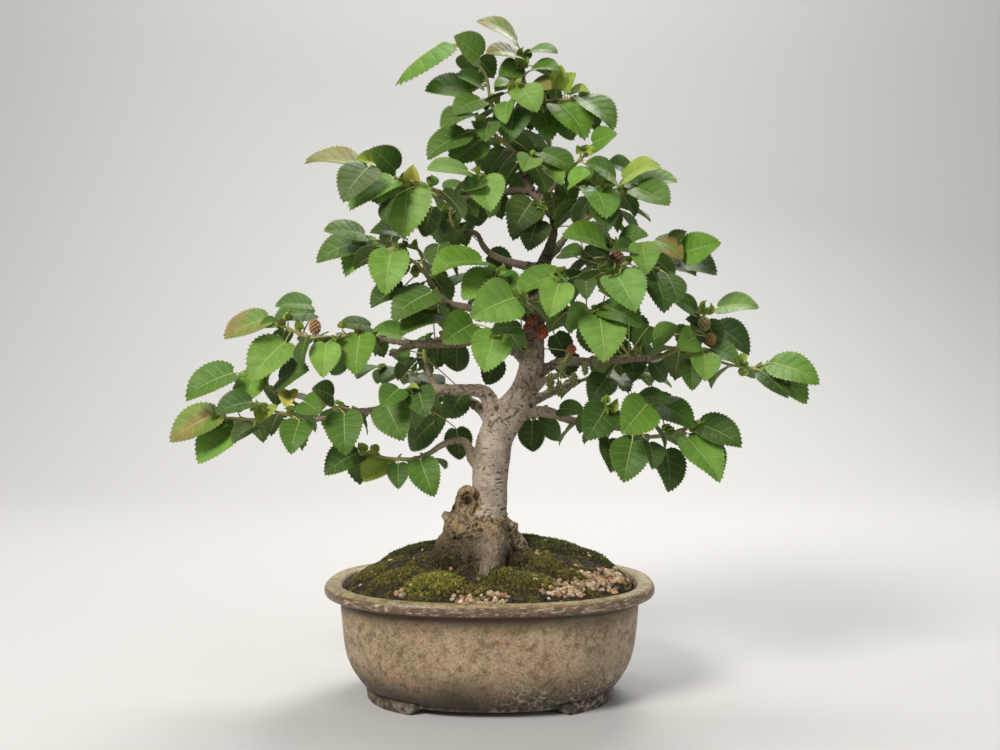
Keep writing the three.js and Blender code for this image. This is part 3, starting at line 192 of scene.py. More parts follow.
def seeded(seed):
    """The run of chance numbers that placed the plain leaves"""
    state = seed

    def draw():
        nonlocal state
        state = (state + 0x6D2B79F5) & 0xFFFFFFFF
        t = ((state ^ (state >> 15)) * (1 | state)) & 0xFFFFFFFF
        t = ((t + (t ^ (t >> 7)) * (61 | t)) & 0xFFFFFFFF) ^ t
        return (t ^ (t >> 14)) / 4294967296

    return draw


# %% [markdown]
# A material is a small network of nodes. These helpers place a node, join it up and mix colours, so
# each finish below reads as a recipe. The patterns use Object coordinates, which are metres here, so a
# noise scale of 400 has features of about 2.5 mm.

# %% Node helpers
def shade(red, green, blue):
    """A colour as a screen shows it, 0 to 255, in the linear numbers that Blender reckons with"""
    return tuple(c / 255 / 12.92 if c < 11 else ((c / 255 + 0.055) / 1.055) ** 2.4
                 for c in (red, green, blue))


class Recipe:
    """A material, and short ways to add and join its nodes"""

    def __init__(self, name):
        self.paint = bpy.data.materials.new(name)
        self.paint.use_nodes = True
        self.tree = self.paint.node_tree
        self.shader = self.tree.nodes["Principled BSDF"]
        self.place = self.add("ShaderNodeTexCoord").outputs["Object"]

    def add(self, kind, **settings):
        made = self.tree.nodes.new(kind)
        for key, value in settings.items():
            setattr(made, key, value)
        return made

    def put(self, socket, value):
        """Joins another node's output to a socket, or sets the number or the screen colour there"""
        if isinstance(value, bpy.types.NodeSocket):
            self.tree.links.new(value, socket)
        elif isinstance(value, tuple):
            socket.default_value = (*shade(*value), 1)
        else:
            socket.default_value = value

    def noise(self, scale, detail=3, rough=0.55, place=None):
        made = self.add("ShaderNodeTexNoise")
        self.put(made.inputs["Vector"], place or self.place)
        self.put(made.inputs["Scale"], scale)
        self.put(made.inputs["Detail"], detail)
        self.put(made.inputs["Roughness"], rough)
        return made.outputs["Fac"]

    def cells(self, scale, place=None):
        """How far each point is from the net of lines between scattered cells"""
        made = self.add("ShaderNodeTexVoronoi", feature="DISTANCE_TO_EDGE")
        self.put(made.inputs["Vector"], place or self.place)
        self.put(made.inputs["Scale"], scale)
        return made.outputs["Distance"]

    def step(self, value, low, high, to_low=0.0, to_high=1.0):
        """Eases from one number to another while a value goes from low to high"""
        made = self.add("ShaderNodeMapRange", interpolation_type="SMOOTHSTEP")
        self.put(made.inputs["Value"], value)
        for name, number in zip(("From Min", "From Max", "To Min", "To Max"), (low, high, to_low, to_high)):
            self.put(made.inputs[name], number)
        return made.outputs["Result"]

    def sums(self, operation, a, b=0.0):
        made = self.add("ShaderNodeMath", operation=operation)
        for socket, value in zip(made.inputs, (a, b)):
            self.put(socket, value)
        return made.outputs["Value"]

    def times(self, a, b):
        return self.sums("MULTIPLY", a, b)

    def plus(self, a, b):
        return self.sums("ADD", a, b)

    def mix(self, share, a, b):
        """Two colours. The node has their share as input 0 and the colours as inputs 6 and 7."""
        made = self.add("ShaderNodeMix", data_type="RGBA")
        for number, value in ((0, share), (6, a), (7, b)):
            self.put(made.inputs[number], value)
        return made.outputs[2]

    def axis(self, name, place=None):
        made = self.add("ShaderNodeSeparateXYZ")
        self.put(made.inputs[0], place or self.place)
        return made.outputs[name]

    def stretched(self, scale, place=None):
        made = self.add("ShaderNodeVectorMath", operation="MULTIPLY")
        self.put(made.inputs[0], place or self.place)
        made.inputs[1].default_value = scale
        return made.outputs["Vector"]

    def stored(self, name, output="Color"):
        return self.add("ShaderNodeAttribute", attribute_name=name).outputs[output]

    def bump(self, height, distance, strength=1.0, under=None):
        made = self.add("ShaderNodeBump")
        self.put(made.inputs["Height"], height)
        self.put(made.inputs["Distance"], distance)
        self.put(made.inputs["Strength"], strength)
        if under:
            self.put(made.inputs["Normal"], under)
        return made.outputs["Normal"]

    def done(self, colour, rough, normal=None):
        self.put(self.shader.inputs["Base Color"], colour)
        self.put(self.shader.inputs["Roughness"], rough)
        if normal:
            self.put(self.shader.inputs["Normal"], normal)
        return self.paint


print("helpers are ready")

# %% [markdown]
# ## Shaping helpers
# Many of the tree's shapes are a stem: a ring that is pulled along a path and grows thinner. We extrude
# the ring's edges, move them to the next place, and close both ends. A smooth run through a few given
# places makes the path. Hundreds of small shapes are gathered in one bundle, which becomes one mesh,
# because an object for each leaf or pebble would be slow.

# %% A smooth run, a stem and a bundle
def curved(rows, spacing):
    """Rows of numbers, the first three a place, made into a smooth run through all of them"""
    rows = np.array(rows, float)
    ends = np.vstack([2 * rows[0] - rows[1], rows, 2 * rows[-1] - rows[-2]])
    run = []
    for a, b, c, d in zip(ends, ends[1:], ends[2:], ends[3:]):
        count = max(1, math.ceil(np.linalg.norm((c - b)[:3]) / spacing))
        for t in np.arange(count) / count:
            bend = (2 * a - 5 * b + 4 * c - d) * t**2 + (3 * b - a - 3 * c + d) * t**3
            run.append(0.5 * (2 * b + (c - a) * t + bend))
    return np.array([*run, rows[-1]])


def frames_along(points):
    """At each point a turn whose Z looks along the path, without twisting on the way"""
    points = [Vector(p) for p in points]
    last = len(points) - 1
    ways = [(points[min(i + 1, last)] - points[max(i - 1, 0)]).normalized() for i in range(last + 1)]
    turn = ways[0].to_track_quat("Z", "Y")
    turns = [turn]
    for before, way in zip(ways, ways[1:]):
        turn = before.rotation_difference(way) @ turn
        turns.append(turn)
    return points, turns


def stem(points, radii, sides):
    """A ring pulled along a path, with a radius at each point, and closed at both ends"""
    points, turns = frames_along(points)
    places = [
        Matrix.Translation(p) @ turn.to_matrix().to_4x4() @ Matrix.Scale(radius, 4)
        for p, turn, radius in zip(points, turns, radii)
    ]
    bm = bmesh.new()
    ring = bmesh.ops.create_circle(bm, cap_ends=True, radius=1, segments=sides, matrix=places[0])["verts"]
    edges = list(dict.fromkeys(edge for v in ring for edge in v.link_edges))
    for before, after in zip(places, places[1:]):
        pulled = bmesh.ops.extrude_edge_only(bm, edges=edges)["geom"]
        edges = [item for item in pulled if isinstance(item, bmesh.types.BMEdge)]
        bmesh.ops.transform(bm, matrix=after @ before.inverted(), verts=points_in(pulled))
    bmesh.ops.contextual_create(bm, geom=edges)
    bmesh.ops.recalc_face_normals(bm, faces=bm.faces)
    return shape_of(bm)


def shape_of(bm):
    """A bmesh's places and faces as arrays. A triangle's fourth corner is -1. The faces are sorted,
    because Blender may list them in another order on the next run."""
    bm.verts.index_update()
    bmesh.ops.triangulate(bm, faces=[f for f in bm.faces if len(f.verts) > 4])
    places = np.array([v.co for v in bm.verts])
    faces = np.array(sorted(([v.index for v in f.verts] + [-1])[:4] for f in bm.faces))
    bm.free()
    return places, faces


class Bundle:
    """Many small shapes that become one mesh. Each place carries a tone and a spot for the paint."""

    def __init__(self):
        self.places, self.faces, self.tones, self.spots, self.paints = [], [], [], [], []
        self.count = 0

    def add(self, shape, tone=(1, 1, 1, 1), spots=None, paint=0):
        places, faces = shape
        self.places.append(places)
        self.faces.append(np.where(faces < 0, -1, faces + self.count))
        self.tones.append(np.broadcast_to(tone, (len(places), 4)))
        self.spots.append(np.zeros((len(places), 3)) if spots is None else spots)
        self.paints.append(np.full(len(faces), paint))
        self.count += len(places)

    def mesh(self, name, scale=MM):
        made = bpy.data.meshes.new(name)
        faces = [row[:3] if row[3] < 0 else row for row in np.vstack(self.faces).tolist()]
        made.from_pydata((np.vstack(self.places) * scale).tolist(), [], faces)
        tone = made.attributes.new("tone", "FLOAT_COLOR", "POINT")
        tone.data.foreach_set("color", np.vstack(self.tones).ravel())
        spot = made.attributes.new("spot", "FLOAT_VECTOR", "POINT")
        spot.data.foreach_set("vector", np.vstack(self.spots).ravel())
        made.polygons.foreach_set("material_index", np.concatenate(self.paints))
        return made


def moved(shape, matrix):
    places, faces = shape
    turn = np.array(matrix)
    return places @ turn[:3, :3].T + turn[:3, 3], faces


def facing(way):
    """A turn that points Z along a way"""
    return way.to_track_quat("Z", "Y").to_matrix().to_4x4()


print("a straight stem has", len(stem([(0, 0, 0), (0, 0, 9)], [1, 1], 6)[1]), "faces")

# %% [markdown]
# ## The pot
# The real pot is one fired piece of stoneware with a rolled rim and four low curved feet. Such a pot is
# thrown or pressed round its middle, so we spin its profile round the upright axis with use_merge,
# which closes the seam. Then each point moves out from the round plan to the oval one. The profile has
# a dark groove under the rim, because that shadow is the pot's strongest line.

# %% The oval plan and the pot's profile
PLAN_POWER = 2.3
WIDTH_SHARE = 0.74
POT_STEPS, SOIL_STEPS = 210, 200
# reach from the middle and height, from the middle of the base up to the rim and down inside
OUTER_WALL = [
    (0, 5), (60, 5), (97, 5), (102.6, 5.4), (103.6, 7.6), (103.2, 9), (108, 10.6), (113, 14),
    (120, 24), (125, 34), (128, 45), (130, 60), (131.5, 76), (131.8, 83), (131.2, 87),
    (132.6, 88.8), (134.6, 88.4), (136.4, 89.6), (141, 90.2), (144.8, 91.6), (146, 94.6),
    (145.2, 98.2), (142.6, 100.4), (139, 101), (135.5, 100.9), (132.2, 100), (130.2, 98),
]
INNER_WALL = [(128.6, 93), (127, 88), (124, 78), (120, 52), (112, 30), (98, 14), (60, 13), (0, 13)]


def plan_point(reach, x, y):
    """The point on the oval of a given reach that lies in the direction of x and y"""
    radius = math.hypot(x, y)
    if radius < 1e-6:
        return 0, 0
    powers = abs(x / radius) ** PLAN_POWER + abs(y / radius) ** PLAN_POWER
    far = reach * powers ** (-1 / PLAN_POWER)
    return x / radius * far, y / radius * far * WIDTH_SHARE


def spun(profile, steps):
    """A profile of reach and height spun round the upright axis and spread onto the oval plan"""
    bm = bmesh.new()
    corners = [bm.verts.new((reach, 0, z)) for reach, z in profile]
    edges = [bm.edges.new(pair) for pair in zip(corners, corners[1:])]
    bmesh.ops.spin(
        bm, geom=corners + edges, axis=(0, 0, 1), cent=(0, 0, 0), dvec=(0, 0, 0),
        angle=math.tau, steps=steps, use_merge=True, use_duplicate=False)
    bmesh.ops.remove_doubles(bm, verts=bm.verts, dist=1e-3)
    bmesh.ops.recalc_face_normals(bm, faces=bm.faces)
    for v in bm.verts:
        v.co.x, v.co.y = plan_point(math.hypot(v.co.x, v.co.y), v.co.x, v.co.y)
    return bm


def flat_run(points, spacing):
    run = curved([(reach, z, 0) for reach, z in points], spacing)
    return [(max(reach, 0), z) for reach, z, _ in run]


pot = spun([*flat_run(OUTER_WALL, 2), *flat_run(INNER_WALL, 5)], POT_STEPS)
for v in pot.verts:
    swell = noise.noise(v.co * 0.03) * 0.5 + noise.noise(v.co * 0.16) * 0.14
    outward = Vector((v.co.x, v.co.y * 1.6, 0)).normalized()
    v.co += outward * swell * (1 if v.co.z > 8 else 0)
print("pot shell:", len(pot.faces), "faces")

# %% [markdown]
# Each foot is a curved bracket under the edge of the base. A strip of faces is bent to the plan's curve
# and pulled up into the pot. Its two ends rise like a scroll, and a bevel rounds what would chip.

# %% Feet
FOOT_HEIGHT = 10.5
FOOT_ANGLE, FOOT_HALF_SPREAD = 33, 24  # degrees round the plan, from its long axis
DRAIN_HOLE_X, DRAIN_HOLE_RADIUS = 52, 11


def foot(sign_x, sign_y):
    bm = bmesh.new()
    bmesh.ops.create_grid(bm, x_segments=28, y_segments=4, size=1)
    bmesh.ops.recalc_face_normals(bm, faces=bm.faces)
    pulled = bmesh.ops.extrude_face_region(bm, geom=bm.faces[:])["geom"]
    bmesh.ops.translate(bm, vec=(0, 0, 1), verts=points_in(pulled))
    for v in bm.verts:
        along, across, is_top = v.co.x, v.co.y, v.co.z > 0.5
        scroll = max(0, (abs(along) - 0.78) / 0.22) ** 2.4
        chip = 0.5 * noise.noise(Vector((along * 6 + sign_x, across * 2, sign_y)))
        angle = math.radians(FOOT_ANGLE + FOOT_HALF_SPREAD * along)
        reach = 98.5 + 9.5 * across + (0.5 * across if is_top else 0) + 1.5 * abs(along) ** 6 * across
        x, y = plan_point(reach, sign_x * math.cos(angle), sign_y * math.sin(angle))
        v.co = (x, y, FOOT_HEIGHT if is_top else 7 * scroll + (chip * scroll if abs(along) < 0.98 else 0))
    bmesh.ops.remove_doubles(bm, verts=bm.verts, dist=1e-3)
    bmesh.ops.recalc_face_normals(bm, faces=bm.faces)
    sharp = [e for e in bm.edges if e.calc_face_angle(0) > 1.0 and e.verts[0].co.z + e.verts[1].co.z < 16]
    bmesh.ops.bevel(
        bm, geom=sharp, offset=0.9, offset_type="OFFSET", affect="EDGES", segments=3, profile=0.5,
        material=-1, clamp_overlap=True)
    return shape_of(bm)


def drain_drill(x):
    bm = bmesh.new()
    bmesh.ops.create_cone(
        bm, cap_ends=True, segments=48, radius1=DRAIN_HOLE_RADIUS, radius2=DRAIN_HOLE_RADIUS, depth=40,
        matrix=Matrix.Translation((x, 0, 5)))
    return shape_of(bm)


def plain_object(name, *shapes):
    """An unfinished object in millimetres, for a modifier to work on"""
    bundle = Bundle()
    for shape in shapes:
        bundle.add(shape)
    made = bpy.data.objects.new(name, bundle.mesh(name, 1))
    bpy.context.scene.collection.objects.link(made)
    return made


def worked(piece, *helpers):
    """The mesh that an object's modifiers make. The objects themselves are taken away."""
    bpy.context.view_layer.update()
    seen_by_blender = piece.evaluated_get(bpy.context.evaluated_depsgraph_get())
    made = bpy.data.meshes.new_from_object(seen_by_blender)
    for used in (piece, *helpers):
        bpy.data.objects.remove(used)
    return made


pot_blank = plain_object("pot_blank", shape_of(pot))
drills = plain_object("drills", drain_drill(-DRAIN_HOLE_X), drain_drill(DRAIN_HOLE_X))
cut = pot_blank.modifiers.new("drain_holes", "BOOLEAN")
cut.operation, cut.solver, cut.object = "DIFFERENCE", "EXACT", drills
pot_mesh = worked(pot_blank, drills)
joined = bmesh.new()
joined.from_mesh(pot_mesh)
for sign_x in (-1, 1):
    for sign_y in (-1, 1):
        places, faces = foot(sign_x, sign_y)
        corners = [joined.verts.new(place) for place in places]
        for face in faces:
            joined.faces.new([corners[i] for i in face if i >= 0])
print("pot and feet:", len(joined.faces), "faces")

# %% [markdown]
# The glaze is a satin beige that crazed in the kiln: a fine net of pale and dark threads covers it. Broad
# clouds of pinkish brown and olive lie over it, iron specks sit in it, and lime has crept out low on the
# right side and round the feet. The rim's edge is a glossy brown, rubbed pale where hands have held it.
# All of it follows Object coordinates, so the pattern sits on the pot in metres.

# %% Glaze
def glaze_paint():
    glaze = Recipe("stoneware_glaze")
    height = glaze.axis("Z")
    clouds = glaze.noise(20, detail=5, rough=0.6)
    mottle = glaze.noise(150, detail=6, rough=0.7)
    grain = glaze.noise(900, detail=3, rough=0.6)
    colour = glaze.mix(glaze.step(clouds, 0.4, 0.6), (156, 133, 104), (130, 111, 81))
    pink = glaze.step(glaze.noise(26, detail=4, place=glaze.stretched((1, 1, 1.6))), 0.48, 0.62, 0, 0.6)
    colour = glaze.mix(pink, colour, (158, 120, 94))
    colour = glaze.mix(glaze.step(mottle, 0.5, 0.68, 0, 0.7), colour, (96, 78, 54))
    bent = glaze.add("ShaderNodeVectorMath", operation="ADD")
    warp = glaze.add("ShaderNodeTexNoise")
    glaze.put(warp.inputs["Scale"], 240)
    shift = glaze.add("ShaderNodeVectorMath", operation="SCALE")
    glaze.put(shift.inputs[0], warp.outputs["Color"])
    glaze.put(shift.inputs["Scale"], 0.004)
    glaze.put(bent.inputs[0], glaze.place)
    glaze.put(bent.inputs[1], shift.outputs["Vector"])
    fine_net = glaze.cells(430, place=bent.outputs["Vector"])
    pale_net = glaze.times(glaze.step(fine_net, 0.16, 0.02), glaze.step(mottle, 0.62, 0.42))
    colour = glaze.mix(glaze.times(pale_net, 0.62), colour, (212, 192, 160))
    wide_net = glaze.cells(330, place=bent.outputs["Vector"])
    dark_net = glaze.times(glaze.step(wide_net, 0.1, 0.0), glaze.step(grain, 0.42, 0.6))
    colour = glaze.mix(glaze.times(dark_net, 0.55), colour, (92, 68, 46))
    # painted shade: the glaze darkens to a deep brown towards the base, under the pot's bulge
    low = glaze.plus(height, glaze.times(clouds, 0.03))
    colour = glaze.mix(glaze.step(low, 0.024, 0.064, 0.95, 0), colour, (44, 35, 22))
    # painted shade: a darker band under the overhang of the rim
    high = glaze.plus(height, glaze.times(clouds, 0.016))
    colour = glaze.mix(glaze.step(high, 0.078, 0.094, 0, 0.75), colour, (98, 84, 58))
    # painted shadow: the groove under the rim is painted dark brown
    groove_shadow = glaze.times(glaze.step(height, 0.0835, 0.087), glaze.step(height, 0.0905, 0.0895))
    colour = glaze.mix(glaze.times(groove_shadow, 0.85), colour, (52, 40, 28))
    streaks = glaze.noise(1.0, detail=5, rough=0.7, place=glaze.stretched((130, 130, 520)))
    face = glaze.mix(glaze.step(streaks, 0.36, 0.47), (190, 172, 148), (98, 76, 58))
    face = glaze.mix(glaze.step(mottle, 0.5, 0.6, 0, 0.6), face, (138, 116, 88))
    is_face = glaze.step(height, 0.0897, 0.0903)
    colour = glaze.mix(is_face, colour, face)
    top = glaze.mix(glaze.step(mottle, 0.42, 0.62), (164, 146, 104), (122, 106, 72))
    worn_height = glaze.plus(height, glaze.times(streaks, 0.003))
    colour = glaze.mix(glaze.step(worn_height, 0.0998, 0.1012), colour, top)
    crackle = glaze.cells(170, place=bent.outputs["Vector"])
    threads = glaze.times(glaze.step(crackle, 0.14, 0.0), glaze.step(mottle, 0.44, 0.58))
    side = glaze.times(glaze.step(glaze.axis("X"), -0.04, 0.05), glaze.step(height, 0.06, 0.03))
    patchy = glaze.times(side, glaze.step(glaze.noise(30, detail=2), 0.42, 0.56))
    threads = glaze.times(threads, glaze.times(patchy, 0.75))
    colour = glaze.mix(threads, colour, (208, 198, 178))
    crust = glaze.times(glaze.step(height, 0.012, 0.006), glaze.step(mottle, 0.44, 0.6))
    colour = glaze.mix(glaze.times(crust, 0.5), colour, (160, 144, 122))
    specks = glaze.step(glaze.noise(620, detail=1), 0.66, 0.7, 0, 0.7)
    colour = glaze.mix(specks, colour, (58, 42, 28))
    satin, glossy = glaze.step(mottle, 0.3, 0.7, 0.44, 0.66), glaze.step(streaks, 0.4, 0.6, 0.55, 0.26)
    rough = glaze.mix(is_face, satin, glossy)
    relief = glaze.bump(mottle, 0.0006, 0.5, glaze.bump(grain, 0.0002, 0.6))
    return glaze.done(colour, rough, relief)


pot_glaze = glaze_paint()
finish_piece("pot_body", joined, pot_glaze, ["pot"])

# %% [markdown]
# Under the soil a plastic mesh lies over each drain hole. The plain solids already have its shape, so
# these two keep their mesh and only get a material, a slightly dusty black plastic.

# %% Drain screens
def screen_paint():
    screen = Recipe("dusty_mesh")
    dust = screen.noise(420, detail=4, rough=0.7)
    colour = screen.mix(screen.step(dust, 0.45, 0.7, 0, 0.6), (28, 28, 28), (92, 80, 62))
    return screen.done(colour, screen.step(dust, 0.3, 0.7, 0.4, 0.8), screen.bump(dust, 0.0002, 0.4))


mesh_plastic = screen_paint()
for name in ("drain_screen_left", "drain_screen_right"):
    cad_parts[name].data.materials.clear()
    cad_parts[name].data.materials.append(mesh_plastic)
print("screens painted")

# %% [markdown]
# ## The planted ground
# The soil is one mass that mounds up behind the trunk. Moss has grown over most of it, as thick cushions
# where it is damp and as a thin olive skin elsewhere, and pale grit shows along the front. We spin its
# profile like the pot's, with enough rings for real lumps, and lift each cushion with a soft bump. The
# underside keeps to the pot's inner wall.

# %% The shape of the ground
SOIL_REACH = 126.5
SOIL_EDGE_HEIGHT = 96
# x, y, half width across, half width deep, rise, tone of the moss on it
CUSHIONS = [
    (-46, -62, 27, 20, 6.5, "bright"), (-78, -38, 22, 17, 3.5, "olive"), (-104, -14, 16, 15, 3.0, "olive"),
    (34, -60, 24, 15, 4.5, "green"), (6, -50, 17, 11, 3.0, "green"), (-14, -74, 14, 9, 2.5, "olive"),
    (60, 24, 34, 24, 3.4, "deep"), (96, 22, 18, 18, 2.6, "deep"), (30, 42, 26, 22, 2.2, "deep"),
    (70, -44, 14, 10, 2.6, "olive"), (48, -30, 20, 12, 2.6, "olive"), (-70, 34, 30, 22, 2.6, "deep"),
    (-26, 62, 30, 16, 2.4, "green"), (-36, -24, 15, 12, 3.0, "dark"), (26, -26, 14, 10, 2.5, "dark"),
]
# x, y and half widths of the patches where grit lies bare
GRIT_PATCHES = [(-8, -82, 30, 11), (58, -64, 26, 15), (88, -42, 24, 18), (108, -16, 14, 16),
                (-96, -22, 9, 8), (-70, -66, 12, 6), (96, 40, 14, 12), (10, 84, 34, 8)]


def nearness(x, y, patch):
    """1 in the middle of a patch, falling to 0 at its edge"""
    away = ((x - patch[0]) / patch[2]) ** 2 + ((y - patch[1]) / patch[3]) ** 2
    return max(0, 1 - away)


def ground_height(x, y):
    """The bare mound, which rises towards the back"""
    across = x / SOIL_REACH
    deep = y / (SOIL_REACH * WIDTH_SHARE)
    share = min(1, (abs(across) ** PLAN_POWER + abs(deep) ** PLAN_POWER) ** (1 / PLAN_POWER))
    dome = (1 - share * share) ** 0.75
    lumps = 1.6 * math.sin(x / 13 + 1.3) * math.sin(y / 11)
    return SOIL_EDGE_HEIGHT + dome * (31 * (1 + 0.1 * across + 0.6 * deep) + lumps)


def surface_height(x, y):
    """The ground with its cushions and crumbs"""
    cushions = max(c[4] * nearness(x, y, c) ** 0.6 for c in CUSHIONS)
    place = Vector((x, y, 0))
    crumbs = 0.9 * noise.noise(place * 0.11) + 0.6 * noise.noise(place * 0.4)
    edge = min(1, max(0, (ground_height(x, y) - SOIL_EDGE_HEIGHT) / 6))
    return ground_height(x, y) + (cushions + crumbs) * edge - 1.5 * (1 - edge)


rings = [(SOIL_REACH * (1 - i / 70), SOIL_EDGE_HEIGHT) for i in range(70)]
side = [(95.5, 13.4), (111.3, 30), (119.3, 52), (123.2, 84), (124.6, 92)]
ground = spun([(0, 13.4), *side, *rings, (0, SOIL_EDGE_HEIGHT)], SOIL_STEPS)
for v in ground.verts:
    if v.co.z > SOIL_EDGE_HEIGHT - 0.5:
        v.co.z = surface_height(v.co.x, v.co.y)
print("ground:", len(ground.faces), "faces, highest", round(max(v.co.z for v in ground.verts), 1), "mm")

# %% [markdown]
# Bare soil is nearly black when damp. The lighter crumbs in it are bits of fired clay and root.

# %% Soil
def soil_paint():
    soil = Recipe("damp_soil")
    crumbs = soil.noise(380, detail=6, rough=0.7)
    stain = soil.noise(60, detail=4)
    colour = soil.mix(soil.step(crumbs, 0.42, 0.6), (24, 18, 13), (66, 50, 33))
    colour = soil.mix(soil.step(stain, 0.5, 0.65, 0, 0.6), colour, (56, 56, 26))
    colour = soil.mix(soil.step(crumbs, 0.66, 0.74), colour, (128, 106, 80))
    relief = soil.bump(crumbs, 0.0012, 0.8)
    return soil.done(colour, soil.step(crumbs, 0.3, 0.7, 0.95, 0.7), relief)


finish_piece("soil_mound", ground, soil_paint(), ["soil"])

# %% [markdown]
# Moss is thousands of tiny sprigs. One sprig is a handful of slim cones with three sides that spread like
# fingers. We stamp it all over the mossy ground with a chance lean and height, and each stamp carries
# its own tone, so the cushions are bright on top and brown where they thin out.

# %% Moss
# the deep tones are partly painted shade: they are darker for the cushions behind the trunk, where the
# mound lies in shade
MOSS_TONES = {
    "bright": [(146, 142, 48), (172, 164, 70), (122, 126, 44)],
    "olive": [(112, 106, 42), (136, 126, 56), (88, 86, 36)],
    "green": [(112, 112, 36), (140, 134, 50), (90, 90, 32)],
    "deep": [(74, 78, 30), (98, 100, 40), (52, 56, 24)],
    "dark": [(66, 62, 30), (84, 74, 38), (48, 46, 24)],
    "dry": [(96, 82, 50), (78, 66, 40), (112, 98, 62)],
}
MOSS_TRIES, MOSS_SEED = 23000, 11


def moss_sprig():
    bm = bmesh.new()
    for lean, turn, size in ((0.5, 0.4, 1.05), (0.8, 2.6, 0.9), (0.6, 4.5, 1.0)):
        tilt = Matrix.Rotation(turn, 4, "Z") @ Matrix.Rotation(lean, 4, "X") @ Matrix.Scale(size, 4)
        bmesh.ops.create_cone(
            bm, cap_ends=False, segments=3, radius1=0.36, radius2=0, depth=1,
            matrix=tilt @ Matrix.Translation((0, 0, 0.5)))
    return shape_of(bm)


def scattered(count, seed):
    """Chance places on the ground, evenly spread over the oval"""
    chance = random.Random(seed)
    while count:
        x, y = chance.uniform(-124, 124), chance.uniform(-92, 92)
        inside = abs(x / 124.5) ** PLAN_POWER + abs(y / (124.5 * WIDTH_SHARE)) ** PLAN_POWER < 1
        if inside:
            count -= 1
            yield x, y, chance


def upright_of(x, y):
    """The direction straight out of the ground"""
    slope_x = (surface_height(x + 1, y) - surface_height(x - 1, y)) / 2
    slope_y = (surface_height(x, y + 1) - surface_height(x, y - 1)) / 2
    return Vector((-slope_x, -slope_y, 1)).normalized()


def stamped(shape, place, up, size, chance):
    """A copy that stands on the ground, turned round by chance"""
    turn = facing(up) @ Matrix.Rotation(chance.uniform(0, math.tau), 4, "Z")
    return moved(shape, Matrix.Translation(place) @ turn @ Matrix.Diagonal((*size, 1)))


moss = Bundle()
sprig = moss_sprig()
spots = np.zeros_like(sprig[0])
spots[:, 0] = sprig[0][:, 2]
for x, y, chance in scattered(MOSS_TRIES, MOSS_SEED):
    bare = max(nearness(x, y, patch) for patch in GRIT_PATCHES)
    cushion = max(CUSHIONS, key=lambda c: nearness(x, y, c))
    depth = nearness(x, y, cushion)
    patchy = noise.noise(Vector((x, y, 3)) * 0.07) + 0.5 * noise.noise(Vector((x, y, 9)) * 0.2)
    if depth < 0.05 and (bare > 0.15 or patchy < -0.22):
        continue
    if depth > 0.05:
        kind = "dry" if chance.random() < 0.16 else cushion[5]
    else:
        kind = "dark" if patchy < -0.1 else "dry" if patchy < 0.1 else "olive"
    tone = np.array(shade(*chance.choice(MOSS_TONES[kind]))) * chance.uniform(0.7, 1.35)
    tall = chance.uniform(1.8, 3.4) * (0.7 + 0.6 * depth)
    wide = tall * chance.uniform(0.75, 1.1)
    up = upright_of(x, y) + Vector((chance.gauss(0, 0.4), chance.gauss(0, 0.4), 0))
    place = (x, y, surface_height(x, y) - 0.2)
    moss.add(stamped(sprig, place, up.normalized(), (wide, wide, tall), chance), (*tone, 1), spots)
print("moss sprigs:", len(moss.places))

# %% [markdown]
# A shoot is darker at its foot, where light hardly comes, and its tip is a little yellow.

# %% Moss paint
def moss_paint():
    paint = Recipe("moss")
    up = paint.axis("X", paint.stored("spot", "Vector"))
    tone = paint.stored("tone")
    colour = paint.mix(paint.step(up, 0.0, 0.8), paint.mix(0.6, tone, (22, 24, 12)), tone)
    colour = paint.mix(paint.step(up, 0.7, 1.0, 0, 0.35), colour, (176, 172, 92))
    return paint.done(colour, 0.8)


finish_mesh("moss_cover", moss.mesh("moss_cover"), moss_paint(), smooth=False)

# %% [markdown]
# The grit is crushed fired clay and pumice: small blunt pebbles in ivory, tan and pinkish brown. A rough
# ball with twenty faces is enough for each, pressed flat by chance. Most lie in the bare patches, and a
# few are scattered over the moss.

# %% Grit
GRIT_TONES = [(210, 192, 156), (198, 170, 132), (184, 150, 112), (222, 208, 180), (150, 126, 94),
              (126, 104, 78), (196, 138, 100), (206, 178, 142)]
GRIT_TRIES, GRIT_SEED = 6600, 23


def pebble(seed):
    chance = random.Random(seed)
    bm = bmesh.new()
    bmesh.ops.create_icosphere(bm, subdivisions=1, radius=1)
    for v in bm.verts:
        v.co *= chance.uniform(0.78, 1.12)
    return shape_of(bm)


pebbles = [pebble(seed) for seed in range(9)]
grit = Bundle()
for x, y, chance in scattered(GRIT_TRIES, GRIT_SEED):
    bare = max(nearness(x, y, patch) for patch in GRIT_PATCHES)
    mossy = max(nearness(x, y, c) for c in CUSHIONS)
    likely = min(1, bare * 1.8) * (1 if mossy < 0.1 else 0.25)
    if chance.random() > max(likely, 0.012):
        continue
    size = chance.choice((1.4, 1.8, 2.1, 2.4, 2.8))
    tone = np.array(shade(*chance.choice(GRIT_TONES))) * chance.uniform(0.7, 1.15)
    place = (x, y, surface_height(x, y) + size * 0.25)
    up = (upright_of(x, y) + Vector((chance.gauss(0, 0.3), chance.gauss(0, 0.3), 0))).normalized()
    sides = [size * chance.uniform(low, high) for low, high in ((0.8, 1.2), (0.8, 1.2), (0.55, 0.85))]
    grit.add(stamped(chance.choice(pebbles), place, up, sides, chance), (*tone, 1))


def grit_paint():
    paint = Recipe("fired_clay_grit")
    grain = paint.noise(1500, detail=3)
    colour = paint.mix(paint.step(grain, 0.42, 0.6, 0, 0.4), paint.stored("tone"), (92, 70, 52))
    return paint.done(colour, 0.85, paint.bump(grain, 0.0002, 0.6))


finish_mesh("surface_grit", grit.mesh("surface_grit"), grit_paint(), smooth=False)

